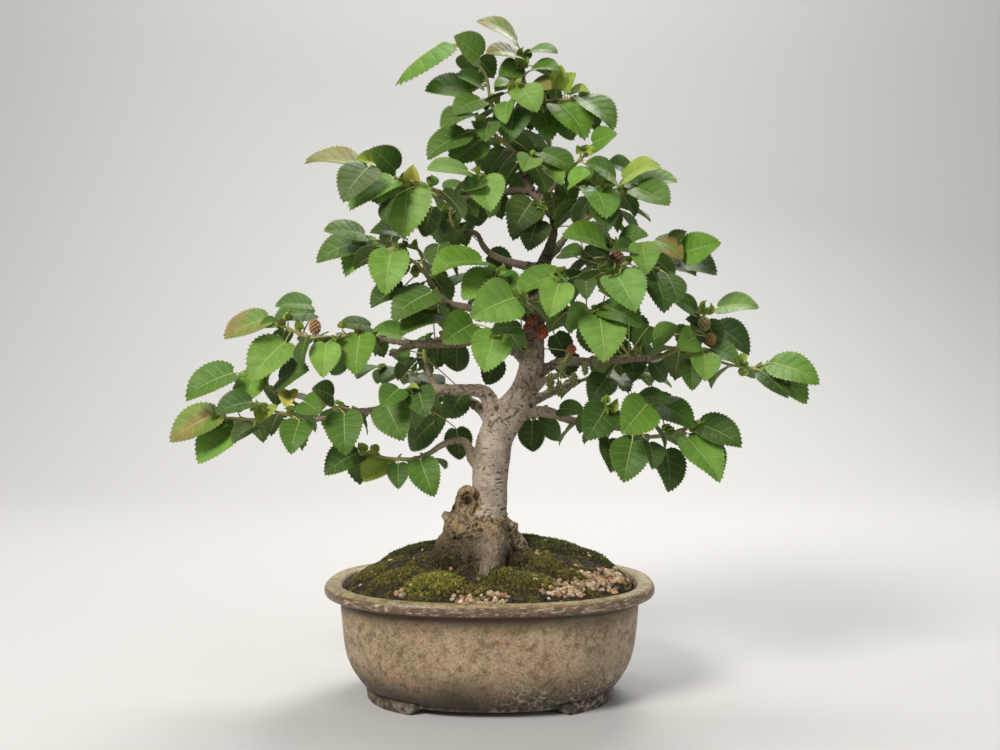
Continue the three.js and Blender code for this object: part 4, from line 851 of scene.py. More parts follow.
# %% [markdown]
# ## The wood
# Trunk, surface roots, the healed burl and every branch grew as one piece. Each row below gives a place
# as the eye sees it, its depth, and how thick the wood is there. We pull a stem along each run, let
# them all overlap, and melt them together with a voxel remesh. That gives one skin with soft crotches
# where branches leave the trunk, which no joining of stems by hand would give so evenly.

# %% Branches
BRANCHES = {
    "trunk": [
        (-7, 84, 4, 20), (-8, 112, 2, 27), (-9, 132, 0, 29), (-7, 146, 0, 25), (-3, 160, 0, 18.5),
        (0, 176, 0, 15.6), (0, 196, 0, 16), (2, 216, 0, 16.4), (5, 232, 0, 15.8),
        (12, 247, 0, 16.4), (22, 260, 0, 14.5), (30, 273, 0, 12.4), (35, 287, 0, 11.6),
        (38, 303, 0, 10.8), (39, 320, 0, 9.6), (41, 342, 0, 8.6), (43, 364, 0, 8),
        (47, 384, 0, 7.2), (52, 398, 0, 5), (56, 411, 0, 4), (57, 427, 0, 3.8)],
    "leader": [
        (56, 411, 0, 3.6), (57, 428, 0, 3.9), (48, 443, 1, 4.1), (38, 451, 3, 4.2),
        (30, 467, 5, 3.7), (26, 487, 4, 3.2), (22, 505, 2, 2.9), (24, 522, 0, 2.6),
        (27, 535, 0, 2.3)],
    "root_front": [
        (-4, 158, -4, 13), (1, 141, -16, 12), (4, 122, -25, 9.5), (5, 104, -30, 8)],
    "root_left": [
        (-14, 158, 0, 15), (-30, 143, -3, 13), (-43, 128, -4, 9), (-54, 112, -5, 6)],
    "root_right": [
        (4, 154, 6, 14), (18, 143, 8, 9), (28, 132, 6, 6.5), (38, 116, 4, 5)],
    "root_back": [
        (-4, 152, 8, 14), (-6, 142, 24, 10), (-10, 128, 38, 6)],
    "burl_low": [
        (-8, 160, -4, 12), (-24, 152, -6, 17.5), (-31, 143, -5, 12)],
    "burl_high": [
        (-8, 182, 0, 7), (-18, 172, 2, 9.5), (-26, 162, 0, 10)],
    "knob_left": [
        (-26, 156, -5, 8), (-38, 162, -7, 4.5), (-42, 165, -7, 3)],
    "knob_right": [
        (4, 150, 4, 11), (17, 152, 2, 6.5), (23, 154, 0, 3.5)],
    "low_left": [
        (-6, 205, 0, 7), (-16, 213, -2, 4.4), (-19, 224, -3, 3.8), (-25, 230, -4, 3.4),
        (-34, 229, -5, 3.2), (-44, 225, -6, 2.9), (-53, 219, -8, 2.5), (-62, 215, -9, 2.2)],
    "long_left": [
        (7, 248, 0, 11), (1, 263, 0, 8.4), (-6, 273, 0, 6.6), (-20, 275, 2, 5.4), (-34, 275, 4, 5),
        (-47, 275, 6, 4.5), (-64, 267, 4, 3.9), (-84, 260, 0, 3.5), (-104, 257, -4, 3.1),
        (-120, 255, -6, 2.8), (-136, 255, -8, 2.5), (-153, 249, -10, 2.2), (-172, 247, -12, 2)],
    "left_rise": [
        (-47, 276, 6, 3.4), (-53, 286, 14, 2.6), (-57, 298, 22, 2.2)],
    "mid_left": [
        (36, 296, 0, 7), (26, 307, -4, 5.4), (12, 317, -6, 5), (-8, 320, -4, 4.6),
        (-28, 317, 0, 4.4), (-48, 316, 0, 4.1), (-66, 316, 0, 3.7), (-84, 318, -3, 2.8),
        (-104, 321, -6, 2.4), (-126, 322, -8, 2)],
    "mid_left_fork": [
        (-62, 316, 0, 3), (-76, 311, 5, 2.2), (-90, 306, 10, 1.9)],
    "high_left": [
        (41, 338, 0, 6), (24, 343, -10, 4.4), (4, 345, -20, 3.8), (-18, 348, -24, 3.2),
        (-37, 353, -22, 2.8), (-47, 363, -18, 2.4), (-57, 379, -14, 2)],
    "shoulder_left": [
        (38, 451, 3, 4), (22, 453, 0, 3.6), (4, 449, -6, 3.2), (-14, 447, -10, 2.8),
        (-32, 446, -12, 2.5), (-47, 448, -14, 2.2)],
    "inner_left": [
        (46, 383, 0, 5.4), (26, 387, 16, 4), (6, 393, 24, 3.4), (-5, 402, 26, 3),
        (-13, 415, 26, 2.6), (-28, 415, 28, 2.2)],
    "low_right": [
        (12, 243, 0, 11), (27, 252, 0, 6.4), (40, 256, -3, 5.1), (56, 254, -6, 4.4),
        (72, 248, -8, 3.8), (90, 245, -10, 3.2), (110, 242, -12, 2.8), (130, 235, -14, 2.4)],
    "mid_right": [
        (37, 285, 0, 7), (50, 294, 4, 5), (66, 300, 8, 4.4), (90, 300, 8, 3.8), (115, 301, 4, 3.2),
        (136, 303, 0, 2.8), (153, 305, -4, 2.4), (170, 308, -8, 2)],
    "pruned_stub": [
        (34, 270, 0, 6), (48, 283, -8, 3.4), (61, 288, -13, 2.8)],
    "high_right": [
        (43, 356, 0, 6), (56, 367, -8, 4), (70, 372, -14, 3.4), (86, 375, -18, 2.8),
        (98, 380, -20, 2.4), (112, 383, -22, 2.1)],
    "shoulder_right": [
        (57, 426, 0, 3.4), (68, 432, -6, 2.8), (80, 438, -10, 2.3), (90, 444, -14, 2)],
    "low_back": [
        (6, 240, 2, 10), (-6, 256, 26, 5.4), (-26, 270, 52, 4), (-44, 280, 74, 3)],
    "low_back_right": [
        (20, 256, 2, 10), (40, 266, 28, 5), (62, 276, 54, 3.8), (80, 283, 74, 2.8)],
    "mid_back": [
        (39, 318, 0, 7), (42, 330, 24, 4.6), (36, 344, 50, 3.6), (26, 356, 72, 2.8)],
    "high_back": [
        (50, 392, 0, 5), (62, 404, 22, 3.6), (72, 418, 48, 2.8)],
}


def branch_run(rows, spacing):
    """A branch's smooth run of places and radii"""
    places = [(*seen(x, z, depth), radius) for x, z, depth, radius in rows]
    return curved(places, spacing)


def callus_ring():
    """The healed edge round an old cut, a ring that stands out of the burl"""
    bm = bmesh.new()
    ring = bmesh.ops.create_circle(
        bm, segments=14, radius=3.9, matrix=Matrix.Translation((8, 0, 0)))["verts"]
    edges = list(dict.fromkeys(edge for v in ring for edge in v.link_edges))
    bmesh.ops.spin(
        bm, geom=ring + edges, axis=(0, 1, 0), cent=(0, 0, 0), dvec=(0, 0, 0), angle=math.tau, steps=28,
        use_merge=True, use_duplicate=False)
    bmesh.ops.remove_doubles(bm, verts=bm.verts, dist=1e-3)
    bmesh.ops.scale(bm, vec=(0.85, 1, 1.12), verts=bm.verts)
    bmesh.ops.rotate(bm, cent=(0, 0, 0), matrix=Matrix.Rotation(-0.35, 3, "Z"), verts=bm.verts)
    bmesh.ops.translate(bm, vec=seen(-21, 176, -11), verts=bm.verts)
    bmesh.ops.recalc_face_normals(bm, faces=bm.faces)
    return shape_of(bm)


VOXEL = 1.05
# the front root's swollen foot
front_flare = [(3, 147, -15, 10), (3, 133, -29, 10), (1, 120, -41, 8.6), (-4, 106, -51, 6.5)]
runs = [branch_run(rows, 4) for rows in [*BRANCHES.values(), front_flare]]
stems = [stem(run[:, :3], run[:, 3], 20 if run[0, 3] > 6 else 12) for run in runs]
wood_blank = plain_object("wood_blank", *stems, callus_ring())
melt = wood_blank.modifiers.new("melt", "REMESH")
melt.mode, melt.voxel_size = "VOXEL", VOXEL
soften = wood_blank.modifiers.new("soften", "SMOOTH")
soften.factor, soften.iterations = 0.5, 4
wood = worked(wood_blank)
print("wood:", len(wood.vertices), "vertices")

# %% [markdown]
# Bark has a direction: its slits run round the stem and its fibres along it. So each point needs its
# place on a straightened branch: how far along it is, and where round it. We look up the nearest spot
# on the branches' middle lines and measure from there.

# %% Places on a straightened branch
def tree_of(places):
    """A tree that finds the nearest of many places"""
    tree = kdtree.KDTree(len(places))
    for i, place in enumerate(places):
        tree.insert(place, i)
    tree.balance()
    return tree


axis_frames = []
for number, run in enumerate(runs):
    points, turns = frames_along(run[:, :3])
    walked = 0
    for i, (point, turn) in enumerate(zip(points, turns)):
        walked += (point - points[i - 1]).length if i else 0
        axis_frames.append((point, turn.inverted(), walked, run[i, 3], number))
axis_tree = tree_of([point for point, *_ in axis_frames])


def straightened(place):
    """The place beside its branch drawn straight, the branch's radius there, and its number"""
    found = axis_tree.find_n(place, 3)
    _, i, _ = min(found, key=lambda each: each[2] - axis_frames[each[1]][3])
    point, back, walked, radius, number = axis_frames[i]
    beside = back @ (Vector(place) - point)
    return Vector((beside.x, beside.y, walked + beside.z)), radius, number


print("spots on the middle lines:", len(axis_frames))

# %% [markdown]
# Now the bark itself, as real relief. The young bark is smooth, with short slits that run round the
# stem, and small warts. Below a jagged edge at about 158 mm the old bark has swollen and flakes in
# fibrous plates. A dark fold crosses the trunk under the fork, thin branches have a ring at each old
# leaf scar, and the hollow of the callus is deep. We move each point along its normal by the sum.

# %% Bark relief
def ramp(value, low, high):
    """Eases from 0 to 1 while a value goes from low to high"""
    share = min(1, max(0, (value - low) / (high - low)))
    return share * share * (3 - 2 * share)


def old_bark_share(place, beside):
    """1 on the old bark and 0 on the young, with a jagged edge between that rises to the left"""
    jag = 7 * noise.noise(Vector((beside.x * 0.13, beside.y * 0.13, 5))) + 3 * noise.noise(place * 0.35)
    left_rise = 26 * ramp(-place.x, 8, 26)
    return 1 - ramp(place.z, 156.4 + jag + left_rise, 157.6 + jag + left_rise)


hollow = seen(-21, 176, -16)


def bark_relief(place, beside, radius, number):
    """How far the bark stands out here in millimetres, and how dark it is: painted shade in its sunk gaps,
    pits, cracks, fold and cleft, and the slits' own dark colour
    """
    healed = 1 - ramp((place - hollow).length, 12, 15)
    old = max(old_bark_share(place, beside), healed) if radius > 4.5 else 0
    round_about = Vector((beside.x * 0.16, beside.y * 0.16, beside.z * 0.62 + number * 9))
    slits = noise.noise(round_about) + 0.22 * noise.noise(place * 0.06)
    warts = noise.noise(place * 0.85)
    rough_up = ramp(place.z, 236, 262) * (radius > 4.5)
    young = -1.0 * ramp(slits, 0.32, 0.58) + 0.3 * ramp(warts, 0.25, 0.6) + 0.2 * noise.noise(place * 0.3)
    cracks = abs(noise.noise(Vector((beside.x * 0.2, beside.y * 0.2, beside.z * 0.13 + number))))
    young -= rough_up * 0.9 * (1 - ramp(cracks, 0.0, 0.13))
    swirl = place + 10 * noise.noise_vector(place * 0.055)
    fibres = abs(noise.noise(Vector((swirl.x * 0.36, swirl.y * 0.36, swirl.z * 0.07 + swirl.x * 0.04))))
    plates = noise.cell(Vector((beside.x * 0.17, beside.y * 0.17, place.z * 0.2 + 0.6 * slits)))
    lumps = noise.noise(place * 0.075)
    pits = noise.noise(place * 0.22 + Vector((3, 5, 0)))
    aged = 0.9 + 1.9 * lumps + 0.5 * plates - 1.3 * (1 - ramp(fibres, 0.0, 0.2))
    aged += 0.5 * noise.noise(place * 0.7) - 2.0 * ramp(pits, 0.2, 0.55)
    relief = young + (aged - young) * old
    # painted shade in the sunk fibre gaps and pits of the old bark; the young bark's slits are dark in
    # their own colour
    dark = old * max(1 - ramp(fibres, 0.02, 0.2), ramp(pits, 0.2, 0.5))
    dark += (1 - old) * ramp(slits, 0.36, 0.53)
    # painted shade in the sunk cracks of the upper trunk
    dark = max(dark, rough_up * (1 - ramp(cracks, 0, 0.1)))
    fold_height = 243 + 0.3 * (place.x - 8) + 7 * noise.noise(place * 0.11) + 2 * noise.noise(place * 0.4)
    fold = abs(place.z - fold_height)
    deep = ramp(noise.noise(place * 0.16 + Vector((0, 0, 7))), -0.5, 0.0)
    # painted shade in the sunk fold under the fork and in the cleft
    if radius > 9 and place.y < 6:
        relief -= 1.7 * deep * (1 - ramp(fold, 0.4, 2.8))
        dark = max(dark, deep * (1 - ramp(fold, 0.3, 2.0)))
        cleft = math.hypot((place.x - 5.5) / 2.4, (place.z - 256) / 7.5) + 0.4 * noise.noise(place * 0.35)
        relief -= 1.8 * (1 - ramp(cleft, 0.4, 1.1))
        dark = max(dark, 1 - ramp(cleft, 0.5, 1.0))
    if radius < 6:
        scar = noise.noise(Vector((number * 5.3, 0, beside.z * 0.17)))
        relief += 0.55 * ramp(scar, 0.25, 0.5) - 0.4 * ramp(-scar, 0.38, 0.5)
        relief *= min(1, radius / 3.4)
    return relief, dark, old


noise.seed_set(8)
count = len(wood.vertices)
places = np.empty(count * 3)
normals = np.empty(count * 3)
wood.vertices.foreach_get("co", places)
wood.vertices.foreach_get("normal", normals)
places, normals = places.reshape(-1, 3), normals.reshape(-1, 3)
besides, shares = np.empty((count, 3)), np.ones((count, 4))
for i in range(count):
    place = Vector(places[i])
    beside, radius, number = straightened(place)
    relief, dark, old = bark_relief(place, beside, radius, number)
    # painted shade in the callus hollow, which is also sunk
    in_hollow = 1 - ramp((place - hollow).length, 3.5, 8.5)
    places[i] += normals[i] * (relief - 2.2 * in_hollow)
    besides[i] = beside
    shares[i, :3] = old, ramp(radius, 7, 3.5), max(dark, in_hollow)
wood.vertices.foreach_set("co", (places * MM).ravel())
wood.attributes.new("spot", "FLOAT_VECTOR", "POINT").data.foreach_set("vector", besides.ravel())
wood.attributes.new("tone", "FLOAT_COLOR", "POINT").data.foreach_set("color", shares.ravel())
wood.update()
print("bark relief on", count, "points")

# %% [markdown]
# The colours follow the same three shares: old or young bark, thick or thin wood, and how dark a point is,
# which is painted shade in the sunk gaps, pits, cracks, fold, cleft and callus hollow and the slits' own
# dark colour. Young bark is a pinkish grey beige. The old bark is golden brown, and painted shade makes its
# gaps nearly black. The foot is dark with moss. Grey lichen has dusted the right side.

# %% Bark paint
def bark_paint():
    bark = Recipe("mulberry_bark")
    beside = bark.stored("spot", "Vector")
    shares = bark.add("ShaderNodeSeparateColor")
    bark.put(shares.inputs[0], bark.stored("tone"))
    old, thin, dark = (shares.outputs[name] for name in ("Red", "Green", "Blue"))
    broad = bark.noise(60, detail=4)
    fine = bark.noise(700, detail=5, rough=0.7)
    dashes = bark.noise(1.0, detail=4, rough=0.65, place=bark.stretched((0.22, 0.22, 1.5), beside))
    fibres = bark.noise(1.0, detail=5, rough=0.7, place=bark.stretched((1.5, 1.5, 0.25), beside))
    young = bark.mix(bark.step(broad, 0.42, 0.58), (176, 160, 142), (140, 118, 104))
    young = bark.mix(bark.step(fine, 0.35, 0.7), young, (186, 172, 154))
    young = bark.mix(bark.step(dashes, 0.57, 0.67, 0, 0.85), young, (84, 66, 54))
    young = bark.mix(bark.step(dashes, 0.34, 0.28, 0, 0.6), young, (200, 188, 170))
    twiggy = bark.mix(bark.step(fine, 0.35, 0.65), (122, 106, 86), (164, 148, 124))
    twiggy = bark.mix(bark.step(dashes, 0.55, 0.66, 0, 0.8), twiggy, (70, 54, 44))
    pale_low = bark.mix(bark.step(fine, 0.35, 0.65), (150, 132, 108), (178, 162, 136))
    twiggy = bark.mix(bark.step(bark.axis("Z"), 0.29, 0.25, 0, 0.75), twiggy, pale_low)
    young = bark.mix(thin, young, twiggy)
    aged = bark.mix(bark.step(fibres, 0.36, 0.64), (180, 154, 114), (128, 102, 70))
    aged = bark.mix(bark.step(fibres, 0.64, 0.76, 0, 0.7), aged, (76, 58, 40))
    aged = bark.mix(bark.step(broad, 0.5, 0.66, 0, 0.5), aged, (140, 124, 104))
    shaded = bark.step(bark.axis("Z"), 0.25, 0.34, 0, 0.48)
    in_shade = bark.mix(bark.step(dashes, 0.42, 0.6), (104, 90, 70), (62, 52, 40))
    young = bark.mix(shaded, young, in_shade)
    colour = bark.mix(old, young, aged)
    # the third share: painted shade in the sunk hollows and gaps, and the slits' own dark colour
    colour = bark.mix(bark.times(dark, 0.85), colour, (46, 35, 27))
    height = bark.plus(bark.axis("Z"), bark.times(broad, 0.03))
    foot = bark.mix(bark.step(fine, 0.4, 0.6), (44, 42, 24), (80, 70, 48))
    colour = bark.mix(bark.step(height, 0.158, 0.136, 0, 0.92), colour, foot)
    left_foot = bark.times(bark.step(height, 0.172, 0.152), bark.step(bark.axis("X"), 0.002, -0.01))
    left_foot = bark.times(left_foot, bark.step(fine, 0.3, 0.5, 0.9, 0.6))
    colour = bark.mix(left_foot, colour, (42, 40, 22))
    root = bark.mix(bark.step(fibres, 0.4, 0.6), (150, 134, 114), (88, 74, 60))
    front_root = bark.times(
        bark.step(bark.axis("Y"), -0.02, -0.03), bark.step(bark.axis("X"), -0.016, -0.008))
    colour = bark.mix(bark.times(front_root, 0.75), colour, root)
    lichen = bark.times(bark.step(bark.noise(210, detail=3), 0.5, 0.62), bark.step(height, 0.19, 0.16))
    lichen = bark.times(lichen, bark.step(bark.axis("X"), 0.006, 0.02))
    colour = bark.mix(bark.times(lichen, 0.6), colour, (186, 184, 168))
    green = bark.step(bark.noise(90, detail=3, place=bark.stretched((1, 1, 0.5))), 0.58, 0.72, 0, 0.4)
    colour = bark.mix(green, colour, (112, 112, 72))
    relief = bark.bump(fibres, 0.0009, 0.7, bark.bump(fine, 0.0003, 0.7))
    return bark.done(colour, bark.step(fine, 0.3, 0.7, 0.92, 0.72), relief)


finish_mesh("tree_wood", wood, bark_paint(), ["trunk"])

# %% [markdown]
# ## One mulberry leaf
# A mulberry leaf is broad, with two lobes beside its stalk, a saw-toothed edge and a drawn-out tip. Its
# side veins leave the midrib and run forwards to the teeth. So we start from a flat grid whose lines
# will be those veins: one edge of the grid lies on the midrib and the other on the margin. Solidify
# gives it an upper and an under face. We keep it as a flat pattern and bend a copy for every leaf.

# %% The leaf's pattern
HALF_WIDTH_SHARE = 0.42  # of the leaf's length
# along the leaf, and across it in half widths, from the stalk round a lobe and up to the tip
MARGIN = [
    (0, 0.03), (-0.035, 0.17), (-0.05, 0.36), (-0.03, 0.56), (0.03, 0.74), (0.11, 0.88),
    (0.21, 0.97), (0.32, 1.0), (0.43, 0.97), (0.54, 0.885), (0.65, 0.76), (0.75, 0.6),
    (0.84, 0.41), (0.91, 0.23), (0.96, 0.1), (1.0, 0.0),
]
# where on the midrib the vein to each of those points starts
MIDRIB = [0, 0.0, 0.01, 0.02, 0.04, 0.08, 0.13, 0.2, 0.28, 0.38, 0.49, 0.6, 0.72, 0.83, 0.91, 1.0]
TOOTH = 0.044
SIDE_VEINS, FIRST_VEIN = 7, 0.3
BLADE_THICKNESS = 0.4


def even_margin(row_count):
    """The margin and the midrib at evenly spaced rows"""
    run = curved([(x, w * HALF_WIDTH_SHARE, m) for (x, w), m in zip(MARGIN, MIDRIB)], 0.01)
    walked = np.concatenate([[0], np.cumsum(np.linalg.norm(np.diff(run[:, :2], axis=0), axis=1))])
    rows = np.linspace(0, walked[-1], row_count + 1)
    return np.array([np.interp(rows, walked, run[:, k]) for k in range(3)]).T


def leaf_pattern(row_count, lane_count):
    """A flat leaf with lanes on each side of its midrib: its places and faces, and for each place its
    row from 0 to 1, its lane from -1 to 1, and 1 on the upper face or 0 on the under face"""
    rows = even_margin(row_count)
    bm = bmesh.new()
    bmesh.ops.create_grid(bm, x_segments=row_count, y_segments=2 * lane_count, size=1)
    for face in bm.faces:
        if face.normal.z < 0:
            face.normal_flip()
    runs_at = bm.verts.layers.float_vector.new("spot")
    for v in bm.verts:
        row = round((v.co.x + 1) / 2 * row_count)
        lane = v.co.y
        x, w, midrib = rows[row]
        ahead = rows[min(row + 1, row_count)] - rows[max(row - 1, 0)]
        ahead = ahead[:2] / np.linalg.norm(ahead[:2])
        is_tooth = row % 2 and 2 < row < row_count - 1
        tooth = TOOTH * (0.6 if row < row_count / 4 else 1) * abs(lane) ** 5 * is_tooth
        along = midrib + (x - midrib) * abs(lane) + tooth * (0.75 * ahead[0] - 0.9 * ahead[1])
        across = w * abs(lane) + tooth * (0.75 * ahead[1] + 0.9 * ahead[0])
        v[runs_at] = (row / row_count, lane, 1)
        v.co = (along, math.copysign(across, lane), 0)
    bmesh.ops.remove_doubles(bm, verts=bm.verts, dist=2e-3)
    bmesh.ops.solidify(bm, geom=bm.faces[:], thickness=1)
    for v in bm.verts:
        if abs(v.co.z) > 0.5:
            v[runs_at] = (v[runs_at].x, v[runs_at].y, 0)
            v.co.z = -1
    bmesh.ops.recalc_face_normals(bm, faces=bm.faces)
    bm.verts.index_update()
    spots = np.array([v[runs_at] for v in bm.verts])
    return (*shape_of(bm), spots)


LEAF, SHADE_LEAF, YOUNG_LEAF = leaf_pattern(36, 4), leaf_pattern(22, 1), leaf_pattern(12, 1)
print("faces of the leaf patterns:", [len(pattern[1]) for pattern in (LEAF, SHADE_LEAF, YOUNG_LEAF)])

# %% [markdown]
# Each leaf gets the same bend that the plain leaf has: it arches along its length and its halves rise
# from the midrib. On top come the small things that make a leaf look alive: the skin bulges between the
# side veins, the edge waves, and the tip hangs.

# %% Bend a leaf
def leaf_skin(leaf, chance, pattern):
    """The pattern bent to one leaf, in millimetres"""
    flat, faces, spots = pattern
    along, across, upper = flat.T
    across = across * chance.uniform(0.93, 1.07)
    row, lane = spots[:, 0], spots[:, 1]
    length = leaf["length"]
    half = length * HALF_WIDTH_SHARE
    spread = np.abs(across) / HALF_WIDTH_SHARE
    rise = length * leaf["arch"] * 4 * along * (1 - along) + leaf["fold"] * spread * half
    between_veins = 0.5 - 0.5 * np.cos(math.tau * (row * SIDE_VEINS + FIRST_VEIN))
    bulge = np.abs(lane) * (1.15 - np.abs(lane)) * between_veins
    rise += length * 0.03 * bulge
    phase, other = chance.uniform(0, math.tau), chance.uniform(0, math.tau)
    wave = np.sin(math.tau * 1.6 * row + np.where(lane > 0, phase, other))
    rise += length * chance.uniform(0.008, 0.024) * lane**2 * wave
    rise -= length * chance.uniform(0.03, 0.1) * np.clip((along - 0.62) / 0.38, 0, 1) ** 2
    # a closed leaf has one half folded back along its midrib
    is_back = lane * leaf.get("closed", 0) > 0
    rise += np.where(is_back, -0.9 * np.abs(across) * length, 0)
    rise += upper * BLADE_THICKNESS
    across = np.where(is_back, across * 0.25, across)
    sway = length * chance.uniform(-0.03, 0.03) * np.clip(along, 0, 1) ** 2
    places = (np.array(leaf["base"]) + np.outer(along * length, leaf["along"])
              + np.outer(across * length + sway, leaf["side"]) + np.outer(rise, leaf["normal"]))
    return places, faces


# %% [markdown]
# ## Where the leaves are
# Every leaf was placed where the photograph's eye sees its stalk end and its tip. It keeps that outline
# and has slid along the line of sight until it crossed nothing. We repeat the rule with the same run of
# chance numbers, try the same steps, and keep the one whose tip the plain solid has.

